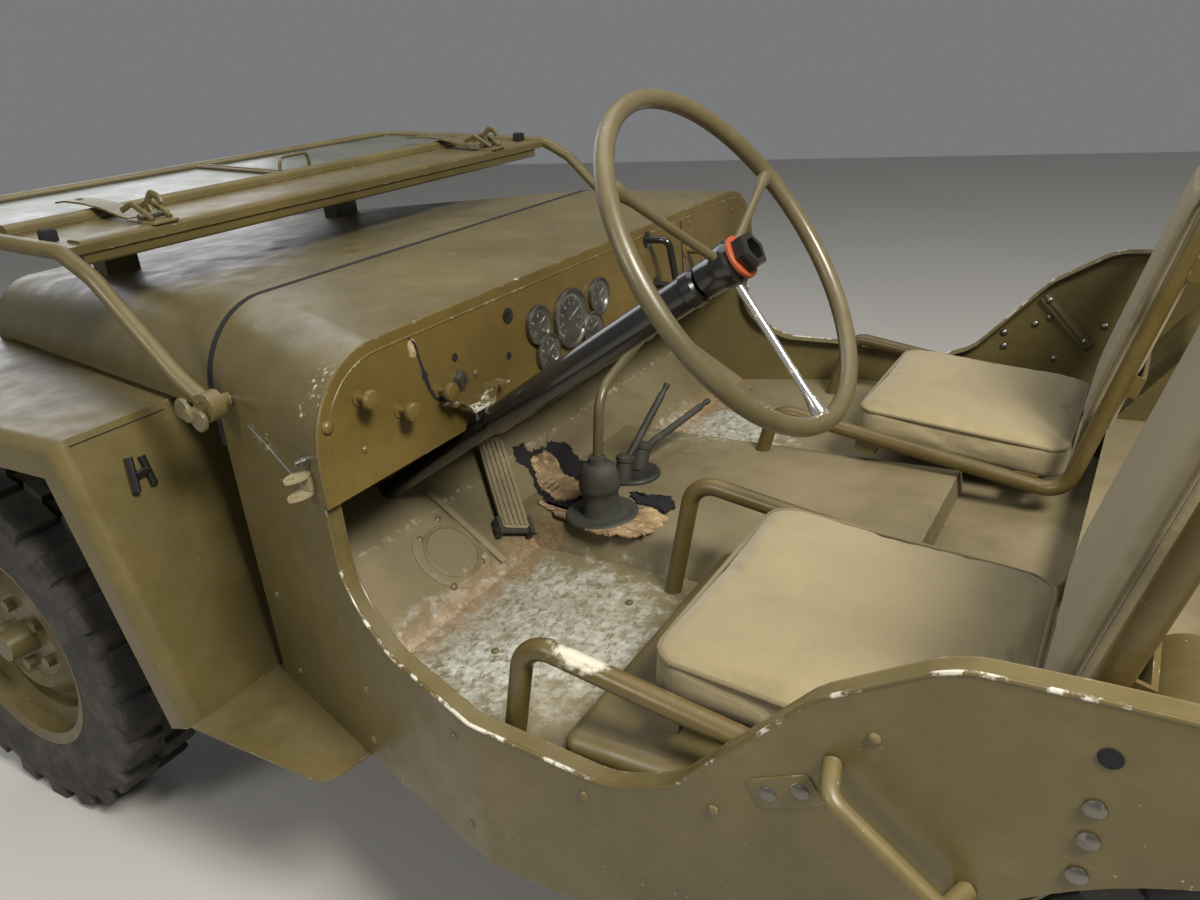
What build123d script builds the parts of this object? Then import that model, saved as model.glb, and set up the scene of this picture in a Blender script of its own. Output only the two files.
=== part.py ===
"""Light open four-wheel-drive military utility car of the 1940s, with its windshield folded down on the hood.

Millimetres. +X is forward, +Y the driver's (left) side, +Z up.
The origin is on the ground, midway along the length and the width.
"""
from build123d import *
from collections import namedtuple
import math
import os

os.makedirs("parts", exist_ok=True)

# Overall layout
length = 3360.0
wheelbase = 2032.0
front_overhang = 559.0
front_axle_x = length / 2 - front_overhang
rear_axle_x = front_axle_x - wheelbase
track = 1245.0
wheel_y = track / 2

# Tyres and wheels
tyre_radius = 362.0
tyre_width = 160.0
lug_height = 13.0
lug_count = 22
lug_side_reach = 76.0
bead_radius = 205.0
rim_half_width = 57.0
rim_wall = 4.0
flange_height = 16.0
flange_flare = 6.0
bead_gap = 0.3
disc_offset = 22.0
disc_thickness = 6.0
hub_cap_radius = 34.0
hub_cap_length = 52.0
stud_circle = 70.0
drum_radius = 122.0
drum_width = 52.0
axle_z = tyre_radius

# Kingpins, knuckles and axles
kingpin_y = 510.0
ball_radius = 60.0
knuckle_gap = 1.0
knuckle_wall = 9.0
knuckle_mouth = 20.0
steer_limit = 28.0
spindle_radius = 22.0
spindle_gap = 0.05
axle_tube_radius = 38.0
diff_y = -190.0
diff_radius = 118.0
backing_radius = 118.0
backing_thickness = 5.0
drum_gap = 4.0

# Chassis rails: top line stations as (x, z), straight between them
rail_depth = 100.0
rail_width = 42.0
rail_wall = 5.0
rail_outer_y = 360.0
rail_top_line = [
    (1608.0, 572.0),
    (1420.0, 588.0),
    (860.0, 588.0),
    (620.0, 530.0),
    (-620.0, 530.0),
    (-790.0, 604.0),
    (-1230.0, 604.0),
    (-1480.0, 572.0),
]
crossmember_radius = 26.0
crossmember_x = [1420.0, 520.0, -200.0, -560.0, -1440.0]

# Leaf springs
spring_y = rail_outer_y - rail_width / 2
spring_width = 44.0
leaf_thickness = 7.0
front_spring_half = 460.0
rear_spring_half = 530.0
spring_drop = 44.0
spring_eye_z = 402.0
spring_eye_radius = 20.0

# Front bumper, a channel open to the rear
bumper_half_width = 692.0
bumper_height = 146.0
bumper_depth = 70.0
bumper_wall = 6.0
bumper_bottom = 440.0

# Body sheet and plan shape
sheet = 3.0
seat_gap = 0.2
edge_width = 24.0
dash_x = 146.0
seam_x = 453.0
seam_gap = 7.0
tub_half = 746.0
tub_wide_x = -91.0
tub_rear_x = -1490.0
dash_bottom = 832.0
rocker_z = 430.0
quarter_top = 870.0
floor_z = 545.0
rear_floor_z = 625.0
rear_floor_x = -640.0
arch_radius = 388.0

# Hood and grille
grille_x = 1350.0
grille_depth = 45.0
hood_setback = 8.0
hood_side_bottom = 885.0
grille_bottom = 588.2
grille_foot_half = 396.0
slot_count = 9
slot_pitch = 54.0
slot_width = 31.0
slot_bottom = 640.0
slot_top = 912.0
headlamp_y = 316.0
headlamp_z = 820.0
headlamp_radius = 78.0

# Tail lamps on the rear panel
tail_lamp_y = 640.0
tail_lamp_z = 775.0
tail_lamp_radius = 36.0
tail_lamp_depth = 34.0

# Wheel boxes over the rear wheels
wheelbox_foot_x = -585.0
wheelbox_top = 760.0

# Front fenders
fender_outer = 740.0
fender_top = 875.0
fender_lip = 58.0
fender_round = 24.0
fender_bend_x = 615.0
fender_foot_x = 479.0
fender_line = [
    (1496.0, 790.0),
    (1478.0, fender_top),
    (fender_bend_x, fender_top),
    (fender_foot_x, rocker_z - 3.2),
]
apron_bottom = 655.0
step_outer = 738.0
step_rear_x = 184.0

# Windshield, folded forward on the hood: its lie is given by its pivot, the arm's elbows and two bends
pivot_x = 400.0
pivot_y = 625.0
pivot_z = 918.0
pivot_radius = 10.0
pivot_gap = 0.05
shield_elbow = [(455.0, 952.0), (590.0, 1085.0)]
shield_bend_x = 655.0
shield_bend_z = 1120.0
shield_top_x = 1153.0
shield_top_z = 1152.0
shield_tube = 12.0
shield_half = 615.0
panel_start = 0.0
pane_rear = 178.0
pane_front = 22.0
pane_corner = 16.0
glass_thickness = 6.0

# Seats
seat_half = 195.0
seat_length = 372.0
seat_slope = 6.2
seat_tube = 13.0
seat_foot_x = -105.0
seat_corner_x = -150.0
seat_corner_z = 740.0
seat_rear_x = -640.0
seat_rear_z = 651.0
cushion_thickness = 65.0
back_tilt = 17.0
back_height = 420.0
back_thickness = 48.0
back_foot = 84.0
Seat = namedtuple("Seat", "rail_inner rail_outer centre_y front_x shift drop")
seats = [
    Seat(rail_inner=270.0, rail_outer=700.0, centre_y=485.0, front_x=-270.0, shift=0.0, drop=0.0),
    Seat(rail_inner=-172.0, rail_outer=-640.0, centre_y=-405.0, front_x=-225.0, shift=45.0, drop=58.0),
]

# Steering
wheel_hub_x = -277.0
wheel_hub_y = 386.0
wheel_hub_z = 1090.0
column_tilt = 32.76
steering_wheel_radius = 208.0
steering_rim_radius = 11.0
column_radius = 22.0
column_lower_radius = 16.0
column_jacket = 460.0
column_length = 790.0
column_shaft = 10.0

# Spare wheel and rear fittings
spare_y = -240.0
spare_z = 872.0
spare_gap = 12.0

# Cowl and hood surface: an arch-shaped section that changes evenly from station to station
Station = namedtuple("Station", "x half top corner")
stations = [
    Station(x=dash_x, half=676.0, top=1012.0, corner=121.0),
    Station(x=seam_x, half=578.0, top=1030.0, corner=121.0),
    Station(x=grille_x, half=408.0, top=985.0, corner=95.0),
]


def shape_at(x):
    """Half width, top height and corner radius of the cowl and hood surface at x."""
    first, last = stations[0:2] if x <= seam_x else stations[1:3]
    share = (x - first.x) / (last.x - first.x)
    mix = [a + (b - a) * share for a, b in zip(first, last)]
    return Station(*mix)


nose = shape_at(grille_x - hood_setback)
grille_half = nose.half - sheet - seat_gap
grille_top = nose.top - sheet - seat_gap
fender_inner = grille_half + seat_gap
dash_half = stations[0].half


def save(part, name):
    """Label a finished piece and write its STEP file."""
    part.label = name
    export_step(part, f"parts/{name}.step")


def mirrored(part):
    """The piece and its mirror image across the centre plane, as separate solids."""
    return Compound(children=[part, mirror(part, about=Plane.XZ)])


def side_plane(y):
    """Side-view plane at y: local x runs forward, local y up, and extrusion goes towards -Y."""
    return Plane(origin=(0, y, 0), x_dir=(1, 0, 0), z_dir=(0, -1, 0))


def cross_plane(x):
    """Cross-section plane at x: local x runs to the left side, local y up, extrusion forward."""
    return Plane(origin=(x, 0, 0), x_dir=(0, 1, 0), z_dir=(1, 0, 0))


def inset(points, distance):
    """An open line moved sideways by distance, to the left of its direction."""
    moved = []
    for i, (x, z) in enumerate(points):
        before = points[max(i - 1, 0)]
        here = (x, z)
        after = points[min(i + 1, len(points) - 1)]
        normals = []
        for a, b in ((before, here), (here, after)):
            run = math.hypot(b[0] - a[0], b[1] - a[1])
            if run > 0:
                normals.append((-(b[1] - a[1]) / run, (b[0] - a[0]) / run))
        nx = sum(n[0] for n in normals) / len(normals)
        nz = sum(n[1] for n in normals) / len(normals)
        stretch = distance / (nx * nx + nz * nz)
        moved.append((x + nx * stretch, z + nz * stretch))
    return moved


# Tyres and wheels

def make_tyre():
    """A military tyre at the origin, rolling about Y: a faceted ring with staggered block lugs.

    Each facet of the ring carries one lug, by turns on the left and on the right, so that a lug of
    one side always faces a gap of the other. The lowest lug stands flat on the ground.
    """
    half = tyre_width / 2
    base = tyre_radius - lug_height
    bulge_r = (bead_radius + base) / 2
    shoulder = half - 12
    foot = rim_half_width - bead_gap
    facet = 360 / (2 * lug_count)
    ring_profile = [
        (bead_radius, -foot),
        (bead_radius, foot),
        (bulge_r, half),
        (base, shoulder),
        (base, -shoulder),
        (bulge_r, -half),
    ]

    def section(angle):
        turned = Plane.XY.rotated((0, angle, 0))
        with BuildSketch(turned) as profile:
            with BuildLine():
                Polyline(*ring_profile, close=True)
            make_face()
        return profile.sketch

    flat_at = math.cos(math.radians(facet / 2))
    lug_width = 0.97 * 2 * base * math.sin(math.radians(facet / 2))
    lug_bottom = base * flat_at - lug_height
    with BuildPart() as tyre:
        for i in range(4):
            quarter = 2 * lug_count // 4
            loft([section(facet * (quarter * i + k + 0.5)) for k in range(quarter + 1)], ruled=True)
        for k in range(2 * lug_count):
            side = 1 if k % 2 == 0 else -1
            down = 90 + facet * k
            reach = (lug_side_reach + 3) / 2
            middle = (lug_bottom + tyre_radius) / 2
            at = Location((0, 0, 0), (0, down, 0)) * Location((middle, side * (reach - 3), 0))
            with Locations(at):
                Box(tyre_radius - lug_bottom, 2 * reach, lug_width)
    return tyre.part


def make_wheel(x, y, z, outward):
    """Pressed steel disc wheel with its hub and brake drum. outward is +1 on the left side."""
    plane = Plane(origin=(x, y, z), x_dir=(0, outward, 0), z_dir=(outward, 0, 0))
    seat = bead_radius * math.cos(math.pi / (2 * lug_count)) - bead_gap
    lip = bead_radius + flange_height
    well = bead_radius - 32
    t = disc_thickness
    w = rim_wall
    flare = rim_half_width + flange_flare
    with BuildPart() as wheel:
        with BuildSketch(plane):
            with BuildLine():
                Polyline(
                    (flare, lip),
                    (rim_half_width, seat),
                    (28, seat),
                    (16, well),
                    (-16, well),
                    (-28, seat),
                    (-rim_half_width, seat),
                    (-flare, lip),
                    (-flare - w, lip),
                    (-rim_half_width - w, seat - w),
                    (-28 - w / 2, seat - w),
                    (-16 - w / 2, well - w),
                    (16 + w / 2, well - w),
                    (28 + w / 2, seat - w),
                    (rim_half_width + w, seat - w),
                    (flare + w, lip),
                    close=True,
                )
            make_face()
        revolve(axis=Axis((x, y, z), (0, 1, 0)))
        with BuildSketch(plane):
            with BuildLine():
                Polyline(
                    (0, well - w / 2),
                    (disc_offset - 10, well - 34),
                    (disc_offset + 14, well - 62),
                    (disc_offset, stud_circle + 20),
                    (disc_offset, hub_cap_radius),
                    (disc_offset + hub_cap_length, hub_cap_radius - 6),
                    (disc_offset + hub_cap_length, 0),
                    (disc_offset + hub_cap_length - 10, 0),
                    (disc_offset + hub_cap_length - 10, spindle_radius + spindle_gap),
                    (disc_offset - drum_width, spindle_radius + spindle_gap),
                    (disc_offset - drum_width, drum_radius),
                    (disc_offset - 2 * t, drum_radius),
                    (disc_offset - t, stud_circle + 18),
                    (disc_offset + 14 - t, well - 66),
                    (disc_offset - 10 - t, well - 38),
                    (-t, well - w / 2),
                    close=True,
                )
            make_face()
        revolve(axis=Axis((x, y, z), (0, 1, 0)))
        stud_plane = Plane(
            origin=(x, y + outward * disc_offset, z), x_dir=(1, 0, 0), z_dir=(0, outward, 0)
        )
        with BuildSketch(stud_plane):
            with PolarLocations(stud_circle, 5):
                RegularPolygon(13, 6)
        extrude(amount=16)
    return wheel.part


tyre = make_tyre()
for name, x, side in (
    ("front_left", front_axle_x, 1),
    ("front_right", front_axle_x, -1),
    ("rear_left", rear_axle_x, 1),
    ("rear_right", rear_axle_x, -1),
):
    save(tyre.moved(Location((x, side * wheel_y, axle_z))), f"{name}_tyre")
    save(make_wheel(x, side * wheel_y, axle_z, side), f"{name}_wheel")


def ball(radius, centre, sides=10):
    """A ball with flat bands, turned about the upright line through its centre."""
    with BuildPart() as turned:
        with BuildSketch(Plane.XZ):
            with BuildLine():
                steps = [math.pi * (k / sides - 0.5) for k in range(sides + 1)]
                rounds = [(radius * math.cos(a), radius * math.sin(a)) for a in steps[1:-1]]
                Polyline((0, -radius), *rounds, (0, radius), close=True)
            make_face()
        revolve(axis=Axis.Z)
    return turned.part.moved(Location(centre))


# Steering knuckles, each a hollow ball housing with its spindle, backing plate and arm
drum_inner_y = wheel_y + disc_offset - drum_width
backing_y = drum_inner_y - drum_gap
for name, side in (("left", 1), ("right", -1)):
    centre = (front_axle_x, side * kingpin_y, axle_z)
    out = Plane(origin=centre, x_dir=(1, 0, 0), z_dir=(0, side, 0))
    with BuildPart() as knuckle:
        add(ball(ball_radius + knuckle_gap + knuckle_wall, centre))
        with BuildSketch(out.offset(backing_y - kingpin_y - backing_thickness)):
            Circle(backing_radius)
        extrude(amount=backing_thickness)
        with BuildSketch(out):
            Circle(ball_radius - 6)
        extrude(amount=backing_y - kingpin_y)
        with BuildSketch(out):
            Circle(spindle_radius)
        extrude(amount=wheel_y + disc_offset + hub_cap_length - 14 - kingpin_y)
        with Locations(Location((front_axle_x, side * kingpin_y, axle_z))):
            Cylinder(24, 2 * (ball_radius + knuckle_wall + 14))
        with Locations(Location((front_axle_x - 92, side * (kingpin_y - 12), axle_z + 34))):
            Box(130, 26, 14)
        add(ball(ball_radius + knuckle_gap, centre), mode=Mode.SUBTRACT)
        inner = out.offset(-knuckle_mouth)
        with BuildSketch(inner):
            Circle(ball_radius + knuckle_wall + 20)
        extrude(amount=-80, mode=Mode.SUBTRACT)
    save(knuckle.part, f"{name}_knuckle")

# Axle housings: tubes, off-centre differential and, in front, the ball ends
for name, x, reach in (
    ("front_axle", front_axle_x, kingpin_y),
    ("rear_axle", rear_axle_x, drum_inner_y - drum_gap),
):
    with BuildPart() as axle:
        with Locations(Location((x, 0, axle_z), (90, 0, 0))):
            Cylinder(axle_tube_radius, 2 * reach)
        with Locations(Location((x, diff_y, axle_z), (90, 0, 0))):
            Cylinder(diff_radius, 120)
        add(ball(diff_radius + 6, (x, diff_y, axle_z)))
        toward_gearbox = -1 if x > 0 else 1
        with Locations(Location((x + toward_gearbox * 130, diff_y, axle_z), (0, 90, 0))):
            Cylinder(52, 120)
        if name == "front_axle":
            for side in (1, -1):
                add(ball(ball_radius, (x, side * kingpin_y, axle_z)))
        else:
            for side in (1, -1):
                end = Plane(origin=(x, side * reach, axle_z), x_dir=(1, 0, 0), z_dir=(0, side, 0))
                with BuildSketch(end):
                    Circle(backing_radius)
                extrude(amount=-backing_thickness)
                with BuildSketch(end):
                    Circle(spindle_radius)
                extrude(amount=wheel_y + disc_offset + hub_cap_length - 14 - reach)
    save(axle.part, name)

# Chassis frame: two channel rails joined by cross tubes
with BuildPart() as frame_rail:
    low_line = [(x, z - rail_depth) for x, z in rail_top_line]
    with BuildSketch(side_plane(rail_outer_y)):
        with BuildLine():
            Polyline(*rail_top_line, *reversed(low_line), close=True)
        make_face()
    extrude(amount=rail_width)
    channel_top = [(x, z - rail_wall) for x, z in rail_top_line]
    channel_low = [(x, z + rail_wall) for x, z in low_line]
    with BuildSketch(side_plane(rail_outer_y - rail_wall)):
        with BuildLine():
            Polyline(*channel_top, *reversed(channel_low), close=True)
        make_face()
    extrude(amount=rail_width, mode=Mode.SUBTRACT)


def rail_top(x):
    """Height of the rail's top line at x."""
    for (x0, z0), (x1, z1) in zip(rail_top_line, rail_top_line[1:]):
        if x1 <= x <= x0:
            return z0 + (z1 - z0) * (x - x0) / (x1 - x0)
    return rail_top_line[-1][1]


with BuildPart() as chassis:
    add(frame_rail.part)
    mirror(about=Plane.XZ)
    for x in crossmember_x:
        with Locations(Location((x, 0, rail_top(x) - rail_depth / 2), (90, 0, 0))):
            Cylinder(crossmember_radius, 2 * (rail_outer_y - rail_wall) + 2)
save(chassis.part, "chassis_frame")

# Leaf springs, clamped under the axle tubes
def make_spring(x, half, side):
    """Main leaf with rolled eyes and three shorter leaves beneath it, swept up towards the eyes."""
    low = axle_z - axle_tube_radius - 2
    with BuildPart() as spring:
        with BuildSketch(side_plane(side * spring_y + spring_width / 2)):
            for i, share in enumerate((1.0, 0.78, 0.56, 0.34)):
                reach = half * share
                rise = (spring_eye_z - 22 - low) * share * share
                z = low - i * leaf_thickness
                with BuildLine():
                    top = ThreePointArc((x - reach, z + rise), (x, z), (x + reach, z + rise))
                    drop = leaf_thickness + 0.4
                    under = ThreePointArc((x - reach, z + rise - drop), (x, z - drop), (x + reach, z + rise - drop))
                    Line(top @ 0, under @ 0)
                    Line(top @ 1, under @ 1)
                make_face()
            with Locations((x - half, spring_eye_z - 22), (x + half, spring_eye_z - 22)):
                Circle(spring_eye_radius)
            clamp = 4 * leaf_thickness + 14
            with Locations((x, axle_z - axle_tube_radius - 0.3 - clamp / 2)):
                Rectangle(90, clamp)
        extrude(amount=spring_width)
        for end in (-1, 1):
            eye = (x + end * half, side * spring_y, spring_eye_z - 22)
            top = min(rail_top(eye[0] - 15), rail_top(eye[0] + 15)) - rail_depth - 0.2
            with Locations((eye[0], side * spring_y, (top + eye[2]) / 2)):
                Box(30, spring_width + 6, top - eye[2])
    return spring.part


springs = [
    make_spring(x, half, side)
    for x, half in ((front_axle_x, front_spring_half), (rear_axle_x, rear_spring_half))
    for side in (1, -1)
]
save(Compound(children=springs), "leaf_springs")

# Front bumper
with BuildPart() as bumper:
    with BuildSketch(Plane.XZ.offset(bumper_half_width)):
        front = length / 2
        with Locations((front - bumper_depth / 2, bumper_bottom + bumper_height / 2)):
            Rectangle(bumper_depth, bumper_height)
            Rectangle(bumper_depth, bumper_height - 2 * bumper_wall, mode=Mode.PRIVATE)
    extrude(amount=-2 * bumper_half_width)
    with Locations((front - bumper_depth / 2 - bumper_wall, 0, bumper_bottom + bumper_height / 2)):
        Box(
            bumper_depth,
            2 * bumper_half_width + 2,
            bumper_height - 2 * bumper_wall,
            mode=Mode.SUBTRACT,
        )
    rail_end = rail_top_line[0][0]
    reach = front - bumper_wall - rail_end
    for side in (1, -1):
        with Locations((rail_end + seat_gap + reach / 2, side * spring_y, 520)):
            Box(reach, rail_width, 80)
save(bumper.part, "front_bumper")

# Steering axis, from the wheel's hub down through the toe board
axis_dir = Vector(-math.cos(math.radians(column_tilt)), 0, math.sin(math.radians(column_tilt)))
hub = Vector(wheel_hub_x, wheel_hub_y, wheel_hub_z)
column_plane = Plane(origin=hub, x_dir=(0, 1, 0), z_dir=axis_dir)

# Body tub. The plan shape narrows from the seats to the cowl.
plan_points = [
    (seam_x, stations[1].half),
    (dash_x, stations[0].half),
    (tub_wide_x, tub_half),
    (tub_rear_x, tub_half),
]


def plan_band(outer_inset, inner_inset, z0, z1):
    """A wall that follows the left side of the plan shape, between two insets from its outer line."""
    outer = [(x, y - outer_inset) for x, y in plan_points]
    inner = [(x, y - inner_inset) for x, y in plan_points]
    with BuildPart() as band:
        with BuildSketch(Plane.XY.offset(z0)):
            with BuildLine():
                Polyline(*outer, *reversed(inner), close=True)
            make_face()
        extrude(amount=z1 - z0)
    return band.part


def plan_inside(gap, z0, z1):
    """The space between the two side walls, less a gap, from z0 to z1."""
    left = [(x, y - sheet - gap) for x, y in plan_points]
    right = [(x, -y) for x, y in reversed(left)]
    with BuildPart() as space:
        with BuildSketch(Plane.XY.offset(z0)):
            with BuildLine():
                Polyline(*left, *right, close=True)
            make_face()
        extrude(amount=z1 - z0)
    return space.part


# Upper edge of the side wall, from the instrument panel's lower corner back along the door
# cut-out to the quarter's top
cut_out_radius = 100.0
cut_out = [
    (dash_x + 10, dash_bottom - seat_gap),
    (dash_x + 10, 712.0),
    (70.0, 655.0),
    (-270.0, 620.0),
    (-345.0, 650.0),
    (-490.0, 803.0),
    (-600.0, quarter_top - 2),
    (-700.0, quarter_top),
    (tub_rear_x, quarter_top),
]


def side_outline(drop):
    """Sketch the tub wall's side outline, with its upper edge lowered by drop for the inner cut."""
    with BuildSketch(side_plane(tub_half + 50)) as outline:
        with BuildLine():
            edge = inset(cut_out, drop) if drop else cut_out
            upper = FilletPolyline(*edge[:-1], radius=cut_out_radius - drop)
            Polyline(
                upper @ 1,
                (tub_rear_x, edge[-1][1]),
                (tub_rear_x, rocker_z + 130),
                (rear_axle_x - arch_radius - 20, rocker_z + 60),
                (rear_axle_x - arch_radius - 20, rocker_z),
                (seam_x, rocker_z),
                (seam_x, dash_bottom - seat_gap),
                upper @ 0,
            )
        make_face()
        with Locations((rear_axle_x, axle_z)):
            Circle(arch_radius, mode=Mode.SUBTRACT)
    return outline.sketch


with BuildPart() as side_outer:
    extrude(side_outline(0), amount=tub_half)
with BuildPart() as side_cut:
    extrude(side_outline(sheet), amount=tub_half)
left_side = (side_outer.part & plan_band(0, edge_width, 400, 1000)) - (
    side_cut.part & plan_band(sheet, edge_width + 5, 380, 1000)
)
save(left_side, "left_side_panel")
save(mirror(left_side, about=Plane.XZ), "right_side_panel")


# Cowl and hood surface
def arch_sketch(x, skin, bottom):
    """Sketch the arch-shaped section at x, its outline inset by skin, down to bottom."""
    at = shape_at(x)
    half = at.half - skin
    with BuildSketch(cross_plane(x)) as section:
        with BuildLine():
            FilletPolyline(
                (-half, bottom),
                (-half, at.top - skin),
                (half, at.top - skin),
                (half, bottom),
                radius=at.corner - skin,
            )
            Line((half, bottom), (-half, bottom))
        make_face()
    return section.sketch


def arch_solid(x0, x1, skin, bottom):
    """Solid under the cowl and hood surface from x0 to x1, its outline inset by skin."""
    return loft([arch_sketch(x, skin, bottom) for x in (x0, x1)], ruled=True)


# Cowl: rounded top and sides between the instrument panel and the hood, with the shield's pivot pins
cowl_inside = arch_solid(dash_x - 2, seam_x - 0.01, sheet, dash_bottom - 20)
with BuildPart() as cowl:
    add(arch_solid(dash_x + seat_gap, seam_x - 0.01, 0, dash_bottom))
    add(cowl_inside, mode=Mode.SUBTRACT)
    wall_y = shape_at(pivot_x).half
    for side in (1, -1):
        pin = Plane(origin=(pivot_x, side * (wall_y - 2), pivot_z), x_dir=(1, 0, 0), z_dir=(0, side, 0))
        with BuildSketch(pin):
            Circle(pivot_radius)
        extrude(amount=pivot_y + 12 - wall_y)
save(cowl.part, "cowl")

# Steering column, which also notches the instrument panel and the floor
def column_rod(radius, start, end):
    """A rod on the steering axis, between two distances below the steering wheel's centre."""
    with BuildPart() as rod:
        with BuildSketch(column_plane.offset(-start)):
            Circle(radius)
        extrude(amount=start - end)
    return rod.part


# Instrument panel
with BuildPart() as dash:
    extrude(arch_sketch(dash_x, 0, dash_bottom), amount=-sheet)
    add(column_rod(column_radius + 2, 300, 640), mode=Mode.SUBTRACT)
save(dash.part, "dash_panel")

# Floor pan with toe board, tunnel and the raised rear floor
tunnel_half = 236.0
tunnel_shoulder = 208.0
tunnel_top = 597.0
tunnel_rear_x = -430.0
toe_foot_x = 170.0
toe_angle = 40.0
rear_floor_half = 452.0
firewall_x = seam_x - sheet
toe_top_z = floor_z + (firewall_x - toe_foot_x) * math.tan(math.radians(toe_angle))
rear_x = tub_rear_x + sheet + seat_gap
with BuildPart() as toe_board:
    with BuildSketch(side_plane(tub_half)):
        with BuildLine():
            Polyline(
                (toe_foot_x - 1, floor_z),
                (toe_foot_x, floor_z),
                (firewall_x, toe_top_z),
                (firewall_x, 1100),
                (firewall_x - sheet, 1100),
                (firewall_x - sheet, toe_top_z),
                (toe_foot_x - 1, floor_z - sheet),
                close=True,
            )
        make_face()
    extrude(amount=2 * tub_half)
with BuildPart() as floor_sheet:
    with BuildSketch(Plane.XY.offset(floor_z - sheet)):
        with Locations(((toe_foot_x + wheelbox_foot_x) / 2, 0)):
            Rectangle(toe_foot_x - wheelbox_foot_x, 2 * tub_half)
        with Locations(((wheelbox_foot_x + rear_floor_x) / 2, 0)):
            Rectangle(wheelbox_foot_x - rear_floor_x + 1, 2 * rear_floor_half)
    extrude(amount=sheet)
arch_space = arch_solid(dash_x, seam_x, sheet + seat_gap, rocker_z)
with BuildPart() as floor:
    add(toe_board.part & arch_space)
    add(floor_sheet.part & plan_inside(seat_gap, 400, 700))
    with BuildSketch(cross_plane(rear_floor_x)):
        with Locations((0, (floor_z + rear_floor_z) / 2 - sheet / 2)):
            Rectangle(2 * rear_floor_half, rear_floor_z - floor_z + sheet)
    extrude(amount=sheet)
    with BuildSketch(Plane.XY.offset(rear_floor_z - sheet)):
        with Locations(((rear_floor_x + rear_x) / 2, 0)):
            Rectangle(rear_floor_x - rear_x, 2 * rear_floor_half)
    extrude(amount=sheet)
    tunnel_line = [
        (-tunnel_half, floor_z - 1),
        (-tunnel_shoulder, tunnel_top),
        (tunnel_shoulder, tunnel_top),
        (tunnel_half, floor_z - 1),
    ]
    tunnel_front = toe_foot_x + (tunnel_top - floor_z) / math.tan(math.radians(toe_angle)) + 4
    with BuildSketch(cross_plane(tunnel_rear_x)):
        with BuildLine():
            FilletPolyline(*tunnel_line, radius=30)
            Line(tunnel_line[-1], tunnel_line[0])
        make_face()
    extrude(amount=tunnel_front - tunnel_rear_x)
    with BuildSketch(cross_plane(tunnel_rear_x + sheet)):
        with BuildLine():
            hollow = [(-tunnel_half + sheet, floor_z - 5), *inset(tunnel_line, -sheet)[1:3], (tunnel_half - sheet, floor_z - 5)]
            FilletPolyline(*hollow, radius=27)
            Line(hollow[-1], hollow[0])
        make_face()
    extrude(amount=tunnel_front - tunnel_rear_x - 3 * sheet, mode=Mode.SUBTRACT)
    add(column_rod(column_lower_radius + seat_gap, 600, 860), mode=Mode.SUBTRACT)
save(floor.part, "floor_pan")

# Rear panel, with a flange along its top
with BuildPart() as rear:
    half = tub_half - sheet - seat_gap
    with BuildSketch(cross_plane(tub_rear_x)):
        with BuildLine():
            Polyline(
                (-half, rocker_z + 130),
                (half, rocker_z + 130),
                (half, quarter_top - sheet - seat_gap),
                (-half, quarter_top - sheet - seat_gap),
                close=True,
            )
        make_face()
    extrude(amount=sheet)
    flange_half = tub_half - edge_width - seat_gap
    with Locations((tub_rear_x + edge_width / 2, 0, quarter_top - sheet)):
        Box(edge_width, 2 * flange_half, 2 * sheet)
    for side in (1, -1):
        with BuildSketch(cross_plane(tub_rear_x + 1)):
            with Locations((side * tail_lamp_y, tail_lamp_z)):
                Circle(tail_lamp_radius)
        extrude(amount=-tail_lamp_depth)
save(rear.part, "rear_panel")

# Inner wheel boxes
wheelbox_inner = rear_floor_half + seat_gap
with BuildPart() as wheelbox:
    outer_y = tub_half - sheet - seat_gap
    box_line = [
        (wheelbox_foot_x, floor_z + seat_gap),
        (wheelbox_foot_x - 115, 700),
        (wheelbox_foot_x - 160, wheelbox_top),
        (rear_x, wheelbox_top),
    ]
    for skin, mode in ((0, Mode.ADD), (sheet, Mode.SUBTRACT)):
        line = inset(box_line, skin) if skin else box_line
        foot = floor_z + seat_gap - skin
        back = rear_x - skin
        with BuildSketch(side_plane(outer_y + skin)):
            with BuildLine():
                FilletPolyline(line[0], line[1], line[2], (back, line[3][1]), radius=45 - skin)
                Polyline((back, line[3][1]), (back, foot), line[0])
            make_face()
        extrude(amount=outer_y - wheelbox_inner, mode=mode)
save(mirrored(wheelbox.part), "wheel_boxes")


# Hood, a shell lofted from the cowl to the grille, with the two blocks the folded shield rests over
hood_rear_x = seam_x + seam_gap
hood_front_x = grille_x - hood_setback
block_x = 1050.0
block_y = 300.0
shield_slope = math.degrees(math.atan2(shield_top_z - shield_bend_z, shield_top_x - shield_bend_x))
shield_bar = 14.0
shield_clear = 5.0
with BuildPart() as hood:
    add(arch_solid(hood_rear_x, hood_front_x, 0, hood_side_bottom))
    add(arch_solid(hood_rear_x - 2, hood_front_x + 2, sheet, hood_side_bottom - 20), mode=Mode.SUBTRACT)
    block_top = shield_bend_z + (block_x - 20 - shield_bend_x) * math.tan(math.radians(shield_slope))
    block_foot = shape_at(block_x + 20).top - 1
    block_height = block_top - shield_bar / 2 - shield_clear - 2 - block_foot
    with Locations(
        (block_x, block_y, block_foot + block_height / 2),
        (block_x, -block_y, block_foot + block_height / 2),
    ):
        Box(40, 70, block_height)
save(hood.part, "hood")

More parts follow.
